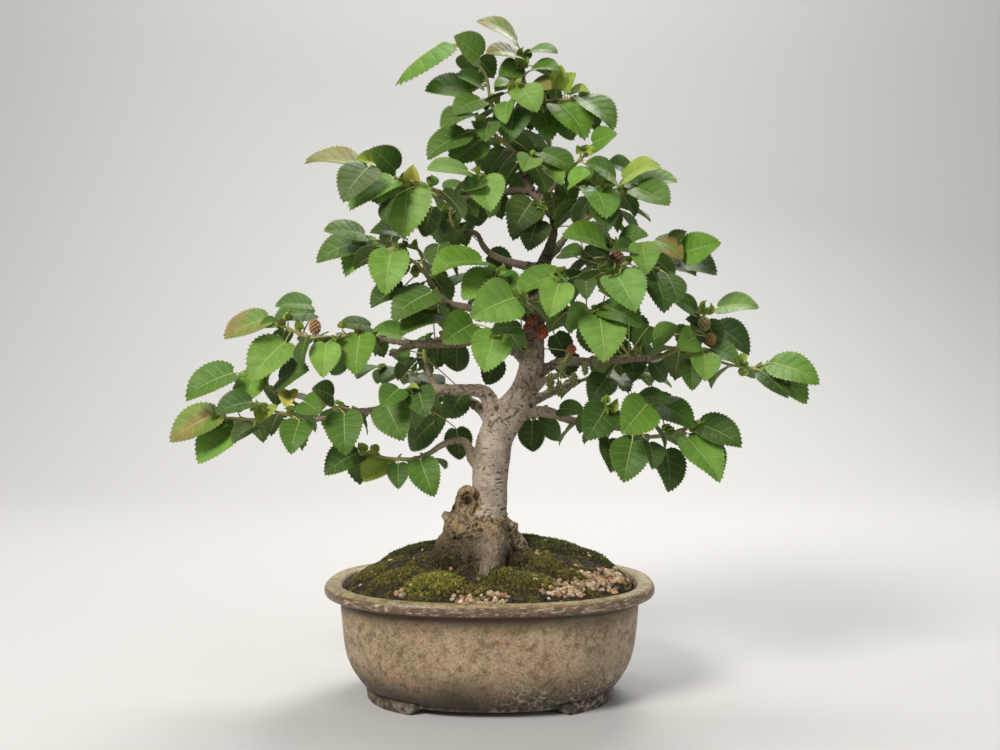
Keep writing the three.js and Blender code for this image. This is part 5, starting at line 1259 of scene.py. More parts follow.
# %% Sprays of leaves
# x, z and depth along the twig, then its leaves and its small young leaves: the tone, stalk end x and z,
# tip x and z, length, and how many degrees the face turns up from the eye
SPRAYS = {
    "crown_tip": ([(27, 533, 0), (30, 550, 0), (30, 570, 0)], [
        ("t", 23, 587, -11, 606, 41, 52), ("t", 26, 573, -3, 576, 34, 50),
        ("g", 36, 577, 60, 577, 28, 52), ("g", 38, 561, 62, 562, 29, 48),
        ("g", 27, 562, 8, 555, 25, 14)], []),
    "crown_left": ([(9, 495, -4), (3, 525, -8), (-3, 553, -8), (-12, 568, -8), (-23, 581, -8)], [
        ("b", -42, 585, -86, 550, 58, 28), ("s", -9, 572, -32, 590, 36, 22),
        ("b", -18, 542, -58, 544, 42, 42), ("g", -8, 547, -29, 556, 28, 42),
        ("g", -8, 534, -33, 522, 32, 35)], []),
    "crown_left_low": ([(26, 484, 4), (8, 499, -16), (-6, 513, -24)], [
        ("g", -14, 521, -44, 511, 38, 50), ("g", -22, 504, -57, 484, 41, 42),
        ("g", -1, 514, -4, 497, 24, 8), ("g", -10, 497, -34, 475, 38, 18)], []),
    "crown_centre": ([(23, 512, 1), (18, 529, -14), (25, 543, -25)], [
        ("s", 28, 545, 42, 523, 31, 12), ("b", 24, 546, 4, 546, 26, 55), ("s", 16, 532, 13, 513, 25, 34),
        ("d", 22, 526, 17, 496, 34, 12)], []),
    "crown_right": ([(25, 526, 0), (42, 532, -3), (60, 533, -5), (79, 535, -6)], [
        ("g", 82, 536, 112, 508, 44, 46), ("b", 62, 530, 86, 500, 44, 30),
        ("g", 46, 529, 53, 498, 37, 12), ("d", 31, 526, 37, 508, 27, 20), ("t", 38, 548, 54, 545, 25, 22),
        ("l", 60, 544, 63, 565, 25, 12)], [
        ("l", 72, 539, 88, 542, 20, 52), ("l", 66, 543, 76, 558, 21, 22)]),
    "shoulder_tuft": ([(50, 446, 0), (58, 458, -10), (70, 470, -16), (84, 484, -20)], [
        ("b", 92, 495, 113, 503, 28, 22), ("g", 46, 487, 76, 471, 37, 46)], [
        ("l", 86, 486, 97, 489, 14, 20), ("l", 82, 488, 77, 486, 12, 20),
        ("g", 88, 473, 86, 458, 22, 30)]),
    "shoulder_right_tip": ([(90, 444, -14), (104, 450, -17), (126, 454, -19)], [
        ("b", 132, 462, 167, 461, 38, 52), ("g", 131, 455, 160, 440, 38, 32),
        ("l", 119, 463, 152, 476, 40, 52), ("g", 128, 466, 106, 478, 32, 46)], [
        ("s", 124, 460, 137, 451, 20, 20)]),
    "shoulder_right_inner": ([(80, 438, -10), (92, 446, -28), (102, 456, -40)], [
        ("g", 112, 463, 86, 478, 34, 48), ("s", 93, 456, 105, 428, 38, 28),
        ("d", 99, 441, 106, 418, 29, 10), ("d", 110, 447, 132, 421, 37, 24),
        ("s", 71, 459, 89, 470, 26, 45)], []),
    "shoulder_left_tip": ([(-47, 448, -14), (-62, 458, -14), (-84, 464, -14), (-110, 473, -14)], [
        ("t", -114, 475, -165, 478, 53, 62), ("g", -84, 471, -106, 490, 37, 22),
        ("t", -90, 462, -134, 457, 46, 54), ("o", -109, 473, -131, 445, 42, 18)], [
        ("l", -102, 477, -119, 482, 22, 36)]),
    "shoulder_left_inner": ([(-38, 447, -13), (-54, 455, -34), (-72, 461, -44)], [
        ("b", -85, 461, -126, 437, 48, 48), ("s", -73, 459, -78, 411, 50, 4),
        ("d", -88, 446, -94, 424, 24, 52)], [
        ("y", -69, 463, -69, 476, 17, 6)]),
    "shoulder_left_front": ([(4, 449, -6), (-6, 456, -38), (-10, 464, -66)], [
        ("b", -20, 470, -56, 473, 38, 54), ("s", -6, 464, 0, 434, 36, 4)], [
        ("g", -8, 459, -24, 452, 22, 30)]),
    "shoulder_left_under": ([(-28, 415, 28), (-35, 428, 27), (-33, 442, 26)], [
        ("d", -51, 438, -60, 411, 31, 14), ("d", -31, 438, -42, 414, 29, 20),
        ("d", -13, 446, -9, 420, 33, 14), ("g", -38, 452, -20, 458, 24, 40)], []),
    "high_left_tip": ([(-57, 379, -14), (-64, 400, -10), (-86, 405, -10), (-110, 410, -10)], [
        ("g", -112, 413, -148, 417, 40, 54), ("g", -116, 408, -156, 391, 45, 44),
        ("s", -100, 407, -130, 378, 45, 36), ("d", -76, 412, -107, 417, 34, 56)], []),
    "high_left_inner": ([(-50, 367, -17), (-64, 386, -36), (-84, 400, -46)], [
        ("s", -88, 399, -93, 361, 42, 2), ("d", -77, 367, -107, 350, 37, 42),
        ("d", -45, 405, -48, 384, 28, 24)], []),
    "high_left_low": ([(-37, 353, -22), (-44, 352, -34), (-52, 352, -42)], [
        ("g", -52, 362, -88, 339, 46, 42), ("g", -47, 343, -81, 327, 42, 42),
        ("d", -50, 364, -68, 366, 23, 40)], []),
    "centre_left_upper": ([(4, 345, -20), (2, 362, -44), (3, 377, -58)], [
        ("b", -7, 389, -53, 382, 49, 58), ("s", 3, 377, -25, 357, 38, 28),
        ("g", 7, 378, 21, 358, 30, 24)], []),
    "front_centre": ([(41, 340, 0), (36, 348, -44), (26, 355, -90)], [
        ("s", 22, 357, -17, 340, 44, 16), ("g", 28, 330, 2, 328, 28, 48)], []),
    "front_heart": ([(38, 308, 0), (26, 318, -44), (8, 326, -86)], [
        ("s", 5, 326, -5, 291, 38, 6), ("g", -15, 334, -42, 318, 36, 16)], []),
    "front_right_heart": ([(44, 368, 0), (54, 376, -44), (62, 376, -84)], [
        ("s", 62, 370, 53, 340, 34, 8), ("b", 64, 377, 22, 362, 44, 52)], []),
    "mid_left_tip": ([(-126, 322, -8), (-145, 322, -11), (-163, 322, -13), (-182, 331, -14)], [
        ("t", -198, 339, -238, 322, 46, 46), ("g", -160, 350, -192, 351, 34, 54),
        ("g", -157, 342, -194, 336, 40, 50), ("s", -183, 317, -215, 282, 50, 22)], [
        ("g", -190, 334, -206, 331, 18, 36)]),
    "mid_left_mid": ([(-104, 321, -6), (-118, 325, -24), (-134, 322, -34)], [
        ("s", -146, 316, -148, 287, 32, 4), ("b", -116, 324, -120, 289, 38, 14),
        ("d", -107, 331, -135, 334, 30, 56), ("d", -164, 320, -167, 297, 26, 46)], []),
    "mid_left_inner": ([(-57, 298, 22), (-58, 312, 28), (-44, 322, 30)], [
        ("o", -55, 312, -58, 290, 26, 30), ("d", -29, 315, -30, 290, 29, 8),
        ("b", -79, 322, -110, 326, 34, 54)], [
        ("g", -82, 311, -75, 297, 21, 18)]),
    "long_left_tip": ([(-172, 247, -12), (-200, 248, -13), (-236, 250, -14)], [
        ("t", -243, 254, -287, 230, 52, 46), ("b", -235, 249, -259, 238, 28, 40),
        ("s", -228, 243, -262, 211, 50, 32), ("o", -210, 243, -230, 229, 30, 44)], []),
    "long_left_upper": ([(-151, 250, -10), (-172, 262, -12), (-190, 272, -13), (-208, 286, -14)], [
        ("g", -229, 290, -273, 267, 50, 46), ("b", -207, 289, -222, 262, 37, 14),
        ("d", -188, 284, -162, 294, 36, 44)], [
        ("y", -179, 274, -181, 259, 20, 4)]),
    "long_left_mid": ([(-160, 248, -11), (-181, 253, -32), (-201, 258, -42)], [
        ("d", -212, 264, -245, 254, 38, 50), ("l", -197, 262, -206, 246, 25, 14),
        ("g", -170, 247, -178, 219, 35, 4)], []),
    "long_left_heart": ([(-120, 255, -6), (-132, 258, -26), (-144, 262, -36)], [
        ("g", -130, 254, -128, 217, 41, 2), ("g", -166, 265, -151, 254, 26, 22),
        ("d", -140, 269, -158, 277, 29, 40)], []),
    "long_left_inner": ([(-84, 260, 0), (-80, 266, -22), (-74, 272, -38)], [
        ("g", -92, 262, -78, 230, 38, 4), ("d", -64, 276, -57, 251, 32, 2),
        ("g", -81, 276, -97, 260, 28, 22)], []),
    "low_left_tip": ([(-62, 215, -9), (-72, 213, -12), (-90, 214, -14), (-108, 217, -15)], [
        ("d", -117, 219, -148, 200, 40, 42), ("l", -96, 215, -112, 193, 34, 8),
        ("d", -82, 209, -81, 187, 26, 4), ("g", -62, 212, -50, 180, 36, 4)], []),
    "low_left_back": ([(-44, 280, 74), (-50, 262, 66), (-52, 250, 56)], [
        ("d", -50, 246, -73, 222, 37, 28), ("d", -30, 240, -26, 212, 30, 14),
        ("d", -66, 266, -88, 256, 34, 40)], []),
    "low_right_tip": ([(130, 235, -14), (148, 233, -17), (166, 238, -18), (182, 243, -19)], [
        ("g", 150, 262, 184, 243, 41, 46), ("d", 187, 244, 225, 224, 45, 40),
        ("s", 176, 232, 206, 193, 52, 36), ("d", 190, 228, 209, 203, 34, 30),
        ("d", 157, 222, 160, 184, 40, 30)], []),
    "low_right_mid": ([(110, 242, -12), (124, 244, -36), (136, 252, -54)], [
        ("b", 140, 262, 118, 236, 38, 4), ("g", 127, 229, 119, 193, 38, 8),
        ("d", 132, 268, 160, 266, 30, 52), ("d", 142, 228, 146, 204, 26, 36)], []),
    "low_right_inner": ([(90, 245, -10), (96, 250, -30), (104, 257, -44)], [
        ("d", 104, 260, 87, 230, 37, 4), ("d", 106, 231, 108, 201, 32, 30),
        ("d", 62, 258, 84, 256, 25, 46)], []),
    "low_right_hanging": ([(40, 256, -3), (42, 254, 14), (40, 250, 26)], [
        ("d", 38, 247, 37, 219, 31, 18), ("g", 44, 247, 65, 232, 29, 46)], []),
    "mid_right_tip": ([(170, 308, -8), (190, 306, -10), (212, 298, -12), (236, 294, -13)], [
        ("b", 252, 299, 295, 283, 50, 40), ("b", 246, 295, 283, 263, 52, 36),
        ("d", 243, 291, 267, 269, 36, 36), ("g", 197, 312, 222, 299, 32, 42)], []),
    "mid_right_upper": ([(160, 306, -6), (178, 320, -10), (185, 334, -13), (191, 342, -15)], [
        ("b", 204, 348, 240, 349, 38, 54), ("s", 203, 346, 226, 330, 32, 26),
        ("d", 201, 331, 233, 308, 42, 36), ("g", 184, 346, 163, 355, 26, 42)], [
        ("d", 187, 334, 175, 338, 16, 26)]),
    "mid_right_heart": ([(153, 305, -4), (170, 311, -26), (184, 311, -38)], [
        ("s", 192, 307, 192, 283, 28, 2), ("d", 180, 301, 181, 275, 29, 4),
        ("b", 183, 322, 168, 313, 27, 6), ("s", 146, 320, 168, 331, 30, 44)], []),
    "mid_right_inner": ([(115, 301, 4), (125, 306, 18), (139, 309, 24)], [
        ("d", 147, 309, 135, 299, 24, 20), ("d", 126, 305, 128, 283, 28, 6),
        ("d", 145, 300, 157, 282, 25, 22), ("d", 104, 286, 90, 264, 32, 14)], []),
    "high_right_tip": ([(112, 383, -22), (130, 383, -26), (150, 386, -28), (164, 396, -29)], [
        ("t", 147, 408, 173, 393, 34, 32), ("b", 173, 397, 206, 406, 38, 18),
        ("d", 170, 391, 203, 380, 38, 40), ("b", 153, 390, 185, 378, 36, 48)], [
        ("o", 163, 407, 175, 417, 19, 26)]),
    "high_right_top": ([(98, 380, -20), (104, 391, -19), (106, 400, -18)], [
        ("b", 103, 403, 64, 413, 43, 54), ("g", 116, 407, 140, 415, 30, 42),
        ("d", 63, 397, 84, 397, 26, 46)], [
        ("d", 105, 399, 92, 405, 20, 28)]),
    "high_right_mid": ([(102, 381, -21), (120, 387, -44), (134, 398, -56)], [
        ("s", 136, 405, 140, 379, 31, 2), ("d", 146, 380, 156, 345, 39, 20),
        ("d", 158, 378, 167, 353, 30, 32)], [
        ("d", 128, 400, 111, 400, 22, 36)]),
    "high_right_front": ([(86, 375, -18), (98, 378, -50), (110, 380, -76)], [
        ("s", 113, 377, 130, 345, 41, 14), ("g", 101, 350, 136, 332, 42, 42)], [
        ("g", 112, 366, 98, 364, 20, 6)]),
    "front_right_long": ([(40, 337, 0), (64, 343, -36), (93, 346, -74)], [
        ("s", 98, 341, 102, 301, 45, 8), ("s", 88, 347, 69, 330, 29, 12)], [
        ("o", 86, 372, 86, 356, 21, 10)]),
    "heart_window": ([(48, 443, 1), (44, 438, -6), (43, 430, -10)], [
        ("o", 38, 443, 20, 414, 37, 14), ("o", 42, 426, 34, 400, 31, 4), ("o", 55, 449, 57, 428, 24, 30),
        ("s", 19, 454, 43, 465, 30, 28)], []),
    "leader_front": ([(30, 467, 5), (34, 474, -14), (36, 482, -28)], [
        ("s", 37, 482, 30, 470, 24, 8)], [
        ("s", 52, 472, 64, 458, 22, 26)]),
}
# four leaves by rule on each twig behind the tree
FAR_SPRAYS = {
    "back_low_left": ([(-44, 280, 74), (-66, 288, 82), (-92, 292, 86)], "gdgd"),
    "back_low_right": ([(80, 283, 74), (102, 289, 80), (129, 292, 84)], "dggd"),
    "back_middle": ([(26, 356, 72), (12, 366, 80), (-6, 374, 84)], "gbdg"),
    "back_high_right": ([(72, 418, 48), (90, 430, 64), (108, 438, 80)], "gdgb"),
    "back_high_left": ([(-14, 415, 26), (-46, 424, 52), (-62, 430, 76)], "dgbg"),
    "back_crown": ([(28, 478, 4), (24, 492, 28), (16, 504, 50)], "gbgd"),
}
SEED = 20240611
FAR_LEAVES = 4
TRIES = 31
print("sprays:", len(SPRAYS), "seen and", len(FAR_SPRAYS), "behind")

# %% [markdown]
# A twig starts on the nearest branch, whatever the list says, and its leaves stand only where it is out
# of the wood. On a real twig the leaves take turns with a few millimetres between them. So each stalk
# takes the free place nearest to its leaf, and the gaps get smaller only where a twig is full.

# %% Twigs and where stalks stand
def nearest_on(path, point):
    """The nearest spot on a path, how far away it is, and how far along the path"""
    best, walked = (path[0], math.inf, 0), 0
    for a, b in zip(path, path[1:]):
        share = min(1, max(0, (point - a).dot(b - a) / (b - a).length_squared))
        spot = a.lerp(b, share)
        away = (spot - point).length
        if away < best[1]:
            best = (spot, away, walked + (spot - a).length)
        walked += (b - a).length
    return best


def length_of(path):
    return sum((b - a).length for a, b in zip(path, path[1:]))


def spot_along(path, distance):
    """The spot that a walk of this distance along a path comes to"""
    for a, b in zip(path, path[1:]):
        stretch = (b - a).length
        if distance <= stretch or b is path[-1]:
            return a.lerp(b, distance / stretch)
        distance -= stretch


wood_paths = [([seen(*row[:3]) for row in rows], [row[3] for row in rows]) for rows in BRANCHES.values()]


def is_in_wood(point, margin):
    """Whether a point is inside a branch or nearer to it than the margin"""
    for path, radii in wood_paths:
        for a, b, thick, thin in zip(path, path[1:], radii, radii[1:]):
            if nearest_on([a, b], point)[1] < max(thick, thin) + margin:
                return True
    return False


def twig_of(rows):
    """A twig's path, where on it leaves may stand, and the places that are taken"""
    path = [seen(*row) for row in rows]
    spots = [nearest_on(wood, path[0]) for wood, _ in wood_paths]
    path[0] = min(spots, key=lambda each: each[1])[0]
    first = 0
    while is_in_wood(spot_along(path, first), 1.9):
        first += 0.5
    return {"path": path, "first": first, "last": length_of(path) - 1.8, "taken": []}


def foot_for(twig, base):
    """The free place on the twig nearest to a leaf's base"""
    wanted = min(max(nearest_on(twig["path"], base)[2], twig["first"]), twig["last"])
    spacing = 4
    while True:
        for i in range(math.ceil(twig["last"] * 2)):
            for along in (wanted - i / 2, wanted + i / 2):
                is_on_twig = twig["first"] <= along <= twig["last"]
                if is_on_twig and all(abs(other - along) > spacing for other in twig["taken"]):
                    return along
        spacing /= 2


twigs = {name: twig_of(spray[0]) for name, spray in {**SPRAYS, **FAR_SPRAYS}.items()}
print("twigs:", len(twigs))

# %% [markdown]
# Now each leaf of the list finds its depth again. A leaf seen from its broad side lies across the line
# of sight. One that looks shorter than it is leans towards the eye or away from it. The turn tips its
# face up from the eye to the sky, which is how real leaves share the light.

# %% Places for leaves
def steps(k, size):
    """0, 1 and -1 steps, 2 and -2 steps and so on, for k from 0"""
    return (-1 if k % 2 else 1) * math.ceil(k / 2) * size


def leaf_from(base, tip, turn, arch, fold):
    """A leaf from its stalk end to its tip, its face turned up by so many degrees from the eye"""
    along = (tip - base).normalized()
    to_eye = Vector((0, -1, 0))
    to_eye = (to_eye - along * to_eye.dot(along)).normalized()
    up = along.cross(to_eye)
    if up.z < 0:
        up.negate()
    angle = math.radians(turn)
    normal = to_eye * math.cos(angle) + up * math.sin(angle)
    return {"base": base, "tip": tip, "along": along, "normal": normal, "side": along.cross(normal),
            "length": (tip - base).length, "arch": arch, "fold": fold}


def seen_leaf(row, depth, arch, fold, toward):
    """A leaf where the eye sees it. Its tip leans back or forth until the leaf has its full length."""
    bx, bz, tx, tz, length, turn = row
    base = seen(bx, bz, depth)
    flat = (seen(tx, tz, depth) - base).length
    lean = math.sqrt(max(0, length * length - flat * flat))
    return leaf_from(base, seen(tx, tz, depth + toward * lean), turn, arch, fold)


def depth_beside(twig, x, z):
    """How deep a twig is where it comes nearest to a leaf's stalk end"""
    return nearest_on(twig["path"], seen(x, z, twig["path"][-1].y))[0].y


def far_leaf(twig, number, k, arch, fold, length, swing, droop):
    """A drooping leaf by rule on a twig that the eye doesn't see"""
    share = 0.2 + 0.8 * number / (FAR_LEAVES - 1)
    along = twig["first"] + share * (twig["last"] - twig["first"])
    outward = twig["path"][-1] - twig["path"][0]
    outward = Vector((outward.x, outward.y, 0)).normalized()
    way = Matrix.Rotation(math.radians(swing + steps(k, 14)), 3, "Z") @ outward
    base = spot_along(twig["path"], along) + way * 13 + Vector((0, 0, 5 - 3 * (k % 3)))
    fall = Vector((way.x, way.y, -droop)).normalized()
    leaf = leaf_from(base, base + fall * length, 0, arch, fold)
    upright = Vector((0, 0, 1))
    leaf["normal"] = (upright - fall * fall.z).normalized()
    leaf["side"] = leaf["along"].cross(leaf["normal"])
    return leaf, along


def solid_corners(name):
    """A tree of a plain solid's corners, in millimetres"""
    return tree_of([v.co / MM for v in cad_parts["spray_" + name].data.vertices])


def is_there(leaf, corners):
    """Whether the plain solid has a corner at the middle of this leaf's tip, which is 0.7 mm thick"""
    return corners.find(leaf["tip"] + leaf["normal"] * 0.35)[2] < 0.4


draw = seeded(SEED)
leaves = {name: [] for name in twigs}
CLOSED = {("crown_left", 0): 1}  # the leaf that is folded shut, and which of its halves is folded back
for name, (_, rows, _) in SPRAYS.items():
    twig, corners = twigs[name], solid_corners(name)
    for number, (tone, *row) in enumerate(rows):
        arch, fold, chance_depth = 0.03 + 0.05 * draw(), 0.1 + 0.22 * draw(), draw()
        start = depth_beside(twig, *row[:2]) - 10 + 14 * chance_depth
        toward = -1 if start < 20 else 1
        for k in range(TRIES):
            leaf = seen_leaf(row, start + steps(k, 4), arch, fold, toward)
            if is_there(leaf, corners):
                foot = foot_for(twig, leaf["base"])
                twig["taken"].append(foot)
                closed = CLOSED.get((name, number), 0)
                leaves[name].append({**leaf, "foot": foot, "tone": tone, "closed": closed})
                break
for name, (_, tones) in FAR_SPRAYS.items():
    twig, corners = twigs[name], solid_corners(name)
    for number, tone in enumerate(tones):
        arch, fold = 0.04 + 0.05 * draw(), 0.1 + 0.2 * draw()
        length = 32 + 12 * draw()
        swing = (1 if number % 2 else -1) * 40 * (1 + 0.75 * draw())
        droop = 0.25 * (1 + 2 * draw())
        for k in range(TRIES):
            leaf, foot = far_leaf(twig, number, k, arch, fold, length, swing, droop)
            if is_there(leaf, corners):
                leaves[name].append({**leaf, "foot": foot, "tone": tone})
                break
print("leaves found:", sum(len(found) for found in leaves.values()))

# %% [markdown]
# The plain solids leave out what would only cover them: the youngest leaves, which are small and still
# folded, and the older ones that hang in the shade inside the crown. The first are listed with the
# sprays. The others are tried at random places on each twig. We keep one where it has the most room,
# behind its twig, and where the eye already sees leaves, so that the outline stays as it is.

# %% Young leaves and shade leaves
# tone, stalk end x and z, tip x and z, and depth of the leaves that the eye sees through a gap
INNER_LEAVES = [
    ("d", 58, 324, 70, 300, 26), ("d", 84, 332, 96, 307, 18), ("g", 104, 336, 112, 309, 22),
    ("d", 124, 338, 138, 315, 26), ("g", 142, 332, 130, 311, 14), ("o", 74, 308, 62, 285, 24),
    ("o", 94, 306, 106, 285, 28), ("d", 8, 302, -4, 279, 36), ("d", -24, 272, -38, 249, 28),
    ("d", 0, 396, 20, 382, 28), ("o", 84, 398, 105, 384, 24), ("d", -10, 484, 8, 468, 22),
    ("g", 50, 542, 64, 524, 14), ("g", 62, 516, 76, 498, 16), ("d", -84, 418, -97, 401, 18),
    ("g", 112, 318, 120, 296, 34), ("g", -52, 354, -70, 340, 26), ("d", -130, 306, -142, 288, 10),
    ("g", 150, 270, 160, 248, 22), ("g", 20, 372, 34, 352, 40),
]
SHADE_ROUNDS, SHADE_TRIES, SHADE_SEED = 4, 26, 31
ROOM, STRAY = 6, 13  # millimetres that a shaded leaf keeps from others, and may lie outside the outline
BOX_MARGIN = 4


def sample_places(leaf):
    """Seven places spread over a leaf"""
    spots = [(0, 0), (0.25, 0), (0.5, 0), (0.75, 0), (1, 0), (0.35, 0.8), (0.35, -0.8)]
    length, half = leaf["length"], leaf["length"] * HALF_WIDTH_SHARE
    return [leaf["base"] + leaf["along"] * (u * length) + leaf["side"] * (v * half) for u, v in spots]


def as_seen(place):
    """Where on the upright plane the eye sees a place"""
    k = EYE[1] / (EYE[1] + place.y)
    return Vector((EYE[0] + (place.x - EYE[0]) * k, 0, EYE[2] + (place.z - EYE[2]) * k))


def hung_leaf(foot, angle, reach, droop, length, roll):
    way = Vector((math.cos(angle), math.sin(angle), 0))
    base = foot + way * reach + Vector((0, 0, 2 - 3 * droop))
    fall = Vector((way.x, way.y, -droop)).normalized()
    upright = Vector((0, 0, 1))
    normal = Matrix.Rotation(roll, 3, fall) @ (upright - fall * fall.z).normalized()
    return {"base": base, "tip": base + fall * length, "along": fall, "normal": normal,
            "side": fall.cross(normal), "length": length, "arch": 0.06, "fold": 0.2}


def room_at(places, tree):
    """How far the nearest of a leaf's places is from any other leaf"""
    return min(tree.find(place)[2] for place in places)


def is_in_box(places):
    """Whether all places are well inside the plain solids' box, so that the size stays"""
    low, high = Vector(cad_low) / MM, Vector(cad_high) / MM
    return all(low[k] + BOX_MARGIN < place[k] < high[k] - BOX_MARGIN for place in places for k in range(3))


for name, (_, _, small) in SPRAYS.items():
    twig = twigs[name]
    for tone, *row in small:
        leaf = seen_leaf(row, depth_beside(twig, *row[:2]) - 3, 0.05, 0.5, -1)
        foot = foot_for(twig, leaf["base"])
        leaves[name].append({**leaf, "foot": foot, "tone": tone, "pattern": SHADE_LEAF})

room = [place for found in leaves.values() for leaf in found for place in sample_places(leaf)]
for tone, *row, depth in INNER_LEAVES:
    near, best = tree_of(room), None
    for k in range(15):
        at = depth + steps(k, 4)
        leaf = leaf_from(seen(row[0], row[1], at), seen(row[2], row[3], at + 7), 12, 0.06, 0.2)
        places = sample_places(leaf)
        gap = room_at(places, near)
        if not any(is_in_wood(place, 1.5) for place in places) and (best is None or gap > best[0]):
            best = (gap, leaf, places)
        if best and best[0] > 5:
            break
    if best:
        name = min(twigs, key=lambda each: nearest_on(twigs[each]["path"], best[1]["base"])[1])
        foot = foot_for(twigs[name], best[1]["base"])
        leaves[name].append({**best[1], "foot": foot, "tone": tone, "pattern": SHADE_LEAF})
        room += best[2]
outline = tree_of([as_seen(place) for place in room])
trials = random.Random(SHADE_SEED)
for _ in range(SHADE_ROUNDS):
    for name, twig in twigs.items():
        near = tree_of(room)
        best = None
        for _ in range(SHADE_TRIES):
            along = trials.uniform(twig["first"], twig["last"])
            angle = math.pi * (trials.uniform(0.1, 0.9) if name in SPRAYS else trials.uniform(-1, 1))
            reach, droop = trials.uniform(7, 17), trials.uniform(0.2, 1.5)
            length, roll = trials.uniform(21, 33), trials.uniform(-0.5, 0.5)
            leaf = hung_leaf(spot_along(twig["path"], along), angle, reach, droop, length, roll)
            places = sample_places(leaf)
            gap = room_at(places, near)
            strays = max(outline.find(as_seen(place))[2] for place in places)
            if gap > ROOM and strays < STRAY and is_in_box(places) and not is_in_wood(places[2], 6):
                if best is None or gap > best[0]:
                    best = (gap, leaf, along, places)
        if best:
            leaf = {**best[1], "foot": best[2], "tone": trials.choice("ddogg"), "pattern": SHADE_LEAF}
            leaves[name].append(leaf)
            room += best[3]
print("with the young and the shaded ones:", sum(len(found) for found in leaves.values()))

# %% [markdown]
# A leaf's paint reads where on the leaf a point lies, so the veins follow the midrib and the lanes of the
# grid. The upper face has a satin sheen with pale veins sunk in it. The under face is duller, with the
# veins raised. Each leaf carries its own tone, which is partly painted light and shade: light on top of the
# crown, dark in its shade, and yellow or pinkish tan where it is young.

# %% Leaf paint
# green, bright, sunlit, dark, olive, light, tan-tipped and yellow; the bright, sunlit and dark tones are
# partly painted light and shade
LEAF_TONES = {
    "g": (70, 108, 28), "b": (92, 136, 34), "s": (112, 154, 60), "d": (52, 84, 24), "o": (62, 84, 32),
    "l": (146, 172, 60), "t": (104, 132, 46), "y": (214, 202, 100),
}
# how strong a blush can be, and its colour
BLUSH = {"t": (0.62, (150, 112, 72)), "l": (0.2, (170, 150, 92)), "b": (0.12, (140, 140, 70))}


def leaf_tones(kind, pattern, chance):
    """A tone for every place on a leaf, with a blush that is strongest towards the tip"""
    row, lane = pattern[2][:, 0], pattern[2][:, 1]
    tone = np.array(shade(*LEAF_TONES[kind])) * chance.uniform(0.84, 1.16)
    tone = tone * np.array([chance.uniform(0.93, 1.08), 1, chance.uniform(0.85, 1.15)])
    most, blush = BLUSH.get(kind, (0.1, (120, 130, 60)))
    patches = 0.5 * np.sin(7 * row + 3 * lane + chance.uniform(0, 6))
    patches += 0.4 * np.sin(5 * lane + chance.uniform(0, 6))
    share = (most * np.clip(row * 1.5 - 0.3 + patches, 0, 1))[:, None]
    tones = tone * (1 - share) + np.array(shade(*blush)) * share
    return np.hstack([tones, np.ones((len(tones), 1))])


def leaf_paint():
    leaf = Recipe("mulberry_leaf")
    spot = leaf.stored("spot", "Vector")
    row, lane, upper = (leaf.axis(name, spot) for name in "XYZ")
    off_midrib = leaf.sums("ABSOLUTE", lane)
    turn = leaf.plus(leaf.times(row, SIDE_VEINS), FIRST_VEIN)
    away = leaf.sums("ABSOLUTE", leaf.sums("SUBTRACT", leaf.sums("FRACT", turn), 0.5))
    side_veins = leaf.times(leaf.step(away, 0.42, 0.475), leaf.step(off_midrib, 1.0, 0.5))
    midrib = leaf.step(off_midrib, 0.055, 0.02)
    veins = leaf.sums("MAXIMUM", midrib, leaf.times(side_veins, 0.42))
    net = leaf.step(leaf.cells(1.0, place=leaf.stretched((26, 7, 0), spot)), 0.1, 0.02)
    tone = leaf.stored("tone")
    mottle = leaf.noise(90, detail=4)
    colour = leaf.mix(leaf.step(mottle, 0.35, 0.65), leaf.mix(0.22, tone, (34, 66, 22)), tone)
    colour = leaf.mix(leaf.times(net, 0.12), colour, leaf.mix(0.5, colour, (160, 180, 100)))
    under = leaf.mix(0.4, tone, (112, 138, 76))
    colour = leaf.mix(upper, under, colour)
    pale = leaf.mix(0.5, tone, (190, 204, 128))
    colour = leaf.mix(leaf.times(veins, 0.7), colour, pale)
    colour = leaf.mix(leaf.step(off_midrib, 0.93, 1.0, 0, 0.35), colour, (132, 134, 62))
    rough = leaf.step(upper, 0, 1, 0.66, 0.5)
    height = leaf.sums("SUBTRACT", leaf.times(net, 0.35), veins)
    flat = leaf.bump(height, 0.0005, 0.6)
    leaf.put(leaf.shader.inputs["Specular IOR Level"], 0.33)
    return leaf.done(colour, rough, flat)


def shoot_paint():
    shoot = Recipe("green_and_red_shoots")
    grain = shoot.noise(900, detail=4)
    dots = shoot.step(shoot.noise(1400, detail=1), 0.64, 0.7, 0, 0.3)
    colour = shoot.mix(shoot.step(grain, 0.4, 0.65, 0, 0.35), shoot.stored("tone"), (70, 52, 38))
    colour = shoot.mix(dots, colour, (204, 196, 160))
    return shoot.done(colour, 0.5, shoot.bump(grain, 0.0002, 0.5))


leaf_green, shoot_skin = leaf_paint(), shoot_paint()
print("leaf paints are ready")

# %% [markdown]
# Now each spray becomes one piece: a red-brown twig that swells at each leaf scar, a bud in each axil,
# the cream-green stalks, and the leaves. A stalk bows a little under its leaf and runs on beneath the
# blade as its midrib, which thins out towards the tip.

# %% Build the sprays
TWIG_OLD, TWIG_YOUNG = shade(90, 54, 38), shade(134, 68, 40)
STALK_FOOT_TONE, STALK_TONE, BUD_TONE = shade(152, 106, 66), shade(168, 166, 96), shade(126, 82, 54)
FIRST_SPRAY_SEED = 500
YOUNG_TWIG_LENGTH = 60


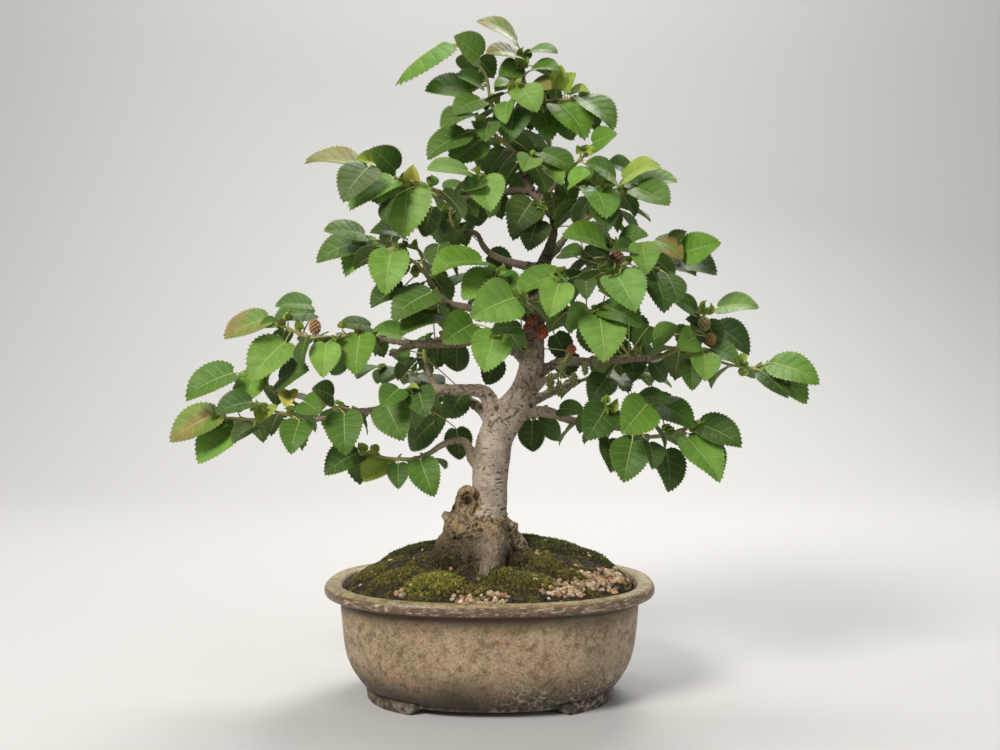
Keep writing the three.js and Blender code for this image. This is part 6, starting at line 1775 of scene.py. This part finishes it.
def graded(shape, path, from_tone, to_tone):
    """Tones that change along a path"""
    start, end = np.array(path[0]), np.array(path[-1])
    length_squared = max(1e-6, (end - start) @ (end - start))
    share = np.clip((shape[0] - start) @ (end - start) / length_squared, 0, 1)[:, None]
    tones = np.array(from_tone) * (1 - share) + np.array(to_tone) * share
    return np.hstack([tones, np.ones((len(tones), 1))])


def leaf_stalk(leaf, foot, chance):
    """A stalk from the twig to the leaf, and on under the blade as its midrib"""
    base, along, normal, length = leaf["base"], leaf["along"], leaf["normal"], leaf["length"]
    reach = (base - foot).length
    bow = Vector((0, 0, reach * chance.uniform(0.02, 0.09)))
    run = [(*foot, 0.8), (*(foot.lerp(base, 0.3) + bow * 0.7), 0.62),
           (*(foot.lerp(base, 0.7) + bow * 0.8), 0.6), (*(base - normal * 0.2), 0.68)]
    for share, radius in ((0.15, 0.5), (0.35, 0.36), (0.6, 0.24), (0.84, 0.12)):
        rise = length * leaf["arch"] * 4 * share * (1 - share) - 0.3 - radius * 0.4
        rise -= length * 0.06 * max(0, (share - 0.62) / 0.38) ** 2
        run.append((*(base + along * (share * length) + normal * rise), radius))
    smooth = curved(run, max(2.5, reach / 6))
    return stem(smooth[:, :3], smooth[:, 3], 5)


def bud(place, way, size):
    bm = bmesh.new()
    bmesh.ops.create_uvsphere(bm, u_segments=6, v_segments=5, radius=1)
    for v in bm.verts:
        v.co.x *= 1 - 0.35 * v.co.z
        v.co.y *= 1 - 0.35 * v.co.z
    slim = Matrix.Diagonal((size * 0.55, size * 0.55, size, 1))
    return moved(shape_of(bm), Matrix.Translation(place) @ facing(way) @ slim)


def young_tuft(bundle, place, way, chance, size):
    """A few leaflets that are still folded, round a bud"""
    for i in range(chance.choice((2, 3, 3, 4))):
        angle = chance.uniform(0, math.tau)
        side = way.orthogonal().normalized()
        lean = (way + Matrix.Rotation(angle, 3, way) @ side * chance.uniform(0.25, 0.9)).normalized()
        leaf = leaf_from(place + lean * 1.5, place + lean * (1.5 + size * chance.uniform(0.6, 1.2)),
                         chance.uniform(0, 360), 0.1, 0.7)
        kind = chance.choice("lllst")
        skin = leaf_skin(leaf, chance, YOUNG_LEAF)
        bundle.add(skin, leaf_tones(kind, YOUNG_LEAF, chance), YOUNG_LEAF[2])


def build_spray(name, seed):
    chance = random.Random(seed)
    twig, bundle = twigs[name], Bundle()
    feet = sorted(leaf["foot"] for leaf in leaves[name])
    run = curved([tuple(place) for place in twig["path"]], 3)
    walked = np.concatenate([[0], np.cumsum(np.linalg.norm(np.diff(run, axis=0), axis=1))])
    swell = sum(0.45 * np.exp(-((walked - foot) / 1.3) ** 2) for foot in feet)
    radii = 1.75 - 0.75 * walked / walked[-1] + swell
    radii[-1] *= 0.6
    shape = stem(run, radii, 8)
    end_tone = TWIG_YOUNG if length_of(twig["path"]) < YOUNG_TWIG_LENGTH else TWIG_OLD
    bundle.add(shape, graded(shape, twig["path"], TWIG_OLD, end_tone), paint=1)
    tip_way = (twig["path"][-1] - twig["path"][-2]).normalized()
    bundle.add(bud(twig["path"][-1] + tip_way * 1.5, tip_way, 2.6), (*BUD_TONE, 1), paint=1)
    young_tuft(bundle, twig["path"][-1], tip_way, chance, 11)
    for _ in range(2):
        place = spot_along(twig["path"], chance.uniform(twig["first"] + 2, twig["last"]))
        aside = Vector((chance.uniform(-1, 1), chance.uniform(-1, 0.3), chance.uniform(0, 1.2)))
        outward = (tip_way + aside).normalized()
        spur = place + outward * chance.uniform(3, 9)
        shape = stem([place, place.lerp(spur, 0.5), spur], [0.9, 0.7, 0.6], 5)
        bundle.add(shape, (*TWIG_YOUNG, 1), paint=1)
        young_tuft(bundle, spur, outward, chance, 9)
    for leaf in leaves[name]:
        foot = spot_along(twig["path"], leaf["foot"])
        way = (leaf["base"] - foot).normalized()
        shape = leaf_stalk(leaf, foot, chance)
        bundle.add(shape, graded(shape, [foot, leaf["base"]], STALK_FOOT_TONE, STALK_TONE), paint=1)
        axil_bud = bud(foot + way * 1.6 + tip_way * 1.6, (way + tip_way).normalized(), 1.9)
        bundle.add(axil_bud, (*BUD_TONE, 1), paint=1)
        pattern = leaf.get("pattern", LEAF)
        bundle.add(leaf_skin(leaf, chance, pattern), leaf_tones(leaf["tone"], pattern, chance), pattern[2])
    mesh = bundle.mesh("leafy_" + name)
    mesh.set_sharp_from_angle(angle=math.radians(55))
    finish_mesh("leafy_" + name, mesh, (leaf_green, shoot_skin), ["spray_" + name])


for number, name in enumerate(twigs):
    build_spray(name, FIRST_SPRAY_SEED + number)

# %% [markdown]
# ## Mulberries and catkins
# A mulberry is many small fleshy beads round one core, and each unripe bead still carries two dry hairs.
# We spread the beads by the golden angle, which packs a round shape evenly, and set a hair on each. The
# same shape, drawn long, gives the spent green catkins beside the trunk.

# %% Berries on their stalks
GOLDEN_ANGLE = math.pi * (3 - math.sqrt(5))
# x, z and depth, half height and half width, and the tone
FRUITS = {
    "fruit_left": (-156, 331, -22, 7.5, 5.4, (168, 122, 84)),
    "fruit_right_high": (113, 392, -33, 8, 6.2, (124, 72, 54)),
    "fruit_right_upper": (191, 334, -29, 6.4, 5.6, (134, 126, 78)),
    "fruit_right_lower": (197, 320, -21, 5.6, 5, (170, 128, 78)),
    "fruit_trunk": (47, 327, -17, 7, 5.6, (160, 76, 48)),
}
GREEN, RUSTY = (136, 146, 84), (170, 84, 50)
CATKINS = [
    (64, 293, -15, 9, 4, GREEN), (75, 284, -9, 8, 3.8, GREEN), (54, 282, -24, 9, 4.2, GREEN),
    (85, 294, -14, 7, 3.4, GREEN), (70, 304, -12, 7, 3.4, GREEN), (62, 276, -20, 8, 3.8, GREEN),
    (94, 300, -12, 6, 3.2, GREEN), (40, 347, -18, 5, 4, GREEN), (38, 338, -19, 5, 4.6, RUSTY),
    (33, 330, -18, 4.2, 3.8, RUSTY), (73, 311, -16, 5, 4.2, RUSTY),
]
CATKIN_SEED, CATKIN_BEADS = 77, 26


def bead():
    bm = bmesh.new()
    bmesh.ops.create_uvsphere(bm, u_segments=7, v_segments=5, radius=1)
    return shape_of(bm)


def hair():
    bm = bmesh.new()
    bmesh.ops.create_cone(bm, cap_ends=False, segments=3, radius1=0.13, radius2=0, depth=1)
    bmesh.ops.translate(bm, vec=(0, 0, 0.5), verts=bm.verts)
    return shape_of(bm)


BEAD, HAIR = bead(), hair()
stalk_paths = [twig["path"] for twig in twigs.values()] + [path for path, _ in wood_paths]


def berry(bundle, centre, half, wide, tone, chance, beads=46):
    """A core, and round it beads that carry a hair each"""
    core = Matrix.Diagonal((wide * 0.78, wide * 0.78, half * 0.82, 1))
    # painted shade: the core is 0.6 times as dark as the beads, so the gaps between them look shaded
    bundle.add(moved(BEAD, Matrix.Translation(centre) @ core), (*shade(*(0.6 * c for c in tone)), 1))
    for i in range(beads):
        z = 1 - 2 * (i + 0.5) / beads
        ring = math.sqrt(1 - z * z)
        way = Vector((ring * math.cos(i * GOLDEN_ANGLE), ring * math.sin(i * GOLDEN_ANGLE), z))
        place = centre + Vector((way.x * wide * 0.8, way.y * wide * 0.8, way.z * half * 0.84))
        size = wide * chance.uniform(0.21, 0.27)
        light = chance.uniform(0.8, 1.2)
        bundle.add(moved(BEAD, Matrix.Translation(place) @ Matrix.Scale(size, 4)),
                   (*(light * c for c in shade(*tone)), 1))
        lean = way + Vector([chance.uniform(-0.5, 0.5) for _ in range(3)])
        tall = Matrix.Diagonal((1, 1, chance.uniform(1.2, 2.2), 1))
        bundle.add(moved(HAIR, Matrix.Translation(place + way * size * 0.8) @ facing(lean) @ tall),
                   (*shade(104, 66, 40), 1))


def stalk_to(bundle, centre):
    spots = [nearest_on(path, centre) for path in stalk_paths]
    foot = min(spots, key=lambda each: each[1])[0]
    bend = centre.lerp(foot, 0.5) + Vector((0, 0, 1.5))
    run = curved([(*foot, 1.1), (*bend, 0.9), (*centre, 0.9)], 2)
    bundle.add(stem(run[:, :3], run[:, 3], 6), (*shade(150, 150, 84), 1))


def berry_paint():
    skin = Recipe("unripe_berry")
    mottle = skin.noise(800, detail=3)
    tone = skin.stored("tone")
    pale = skin.mix(0.5, tone, (196, 176, 112))
    colour = skin.mix(skin.step(mottle, 0.4, 0.65, 0, 0.35), tone, pale)
    return skin.done(colour, 0.48, skin.bump(mottle, 0.0002, 0.4))


berry_skin = berry_paint()
for name, (x, z, depth, half, wide, tone) in FRUITS.items():
    bundle, chance = Bundle(), random.Random(name)
    centre = seen(x, z, depth)
    stalk_to(bundle, centre)
    berry(bundle, centre, half, wide, tone, chance)
    finish_mesh("berry_" + name[6:], bundle.mesh(name + "_beads"), berry_skin, [name])
bundle, chance = Bundle(), random.Random(CATKIN_SEED)
for x, z, depth, half, wide, tone in CATKINS:
    centre = seen(x, z, depth)
    stalk_to(bundle, centre)
    berry(bundle, centre, half, wide, tone, chance, CATKIN_BEADS)
finish_mesh("spent_catkins", bundle.mesh("spent_catkins"), berry_skin)

# %% [markdown]
# ## Both sizes
# The dressed tree has to stay as large as the plain one. The two boxes are printed side by side.

# %% Sizes and the end
low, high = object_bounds()
for axis, a, b, c, d in zip("XYZ", cad_low, cad_high, low, high):
    print(f"{axis}: plain {a:.4f} to {b:.4f}, dressed {c:.4f} to {d:.4f}")
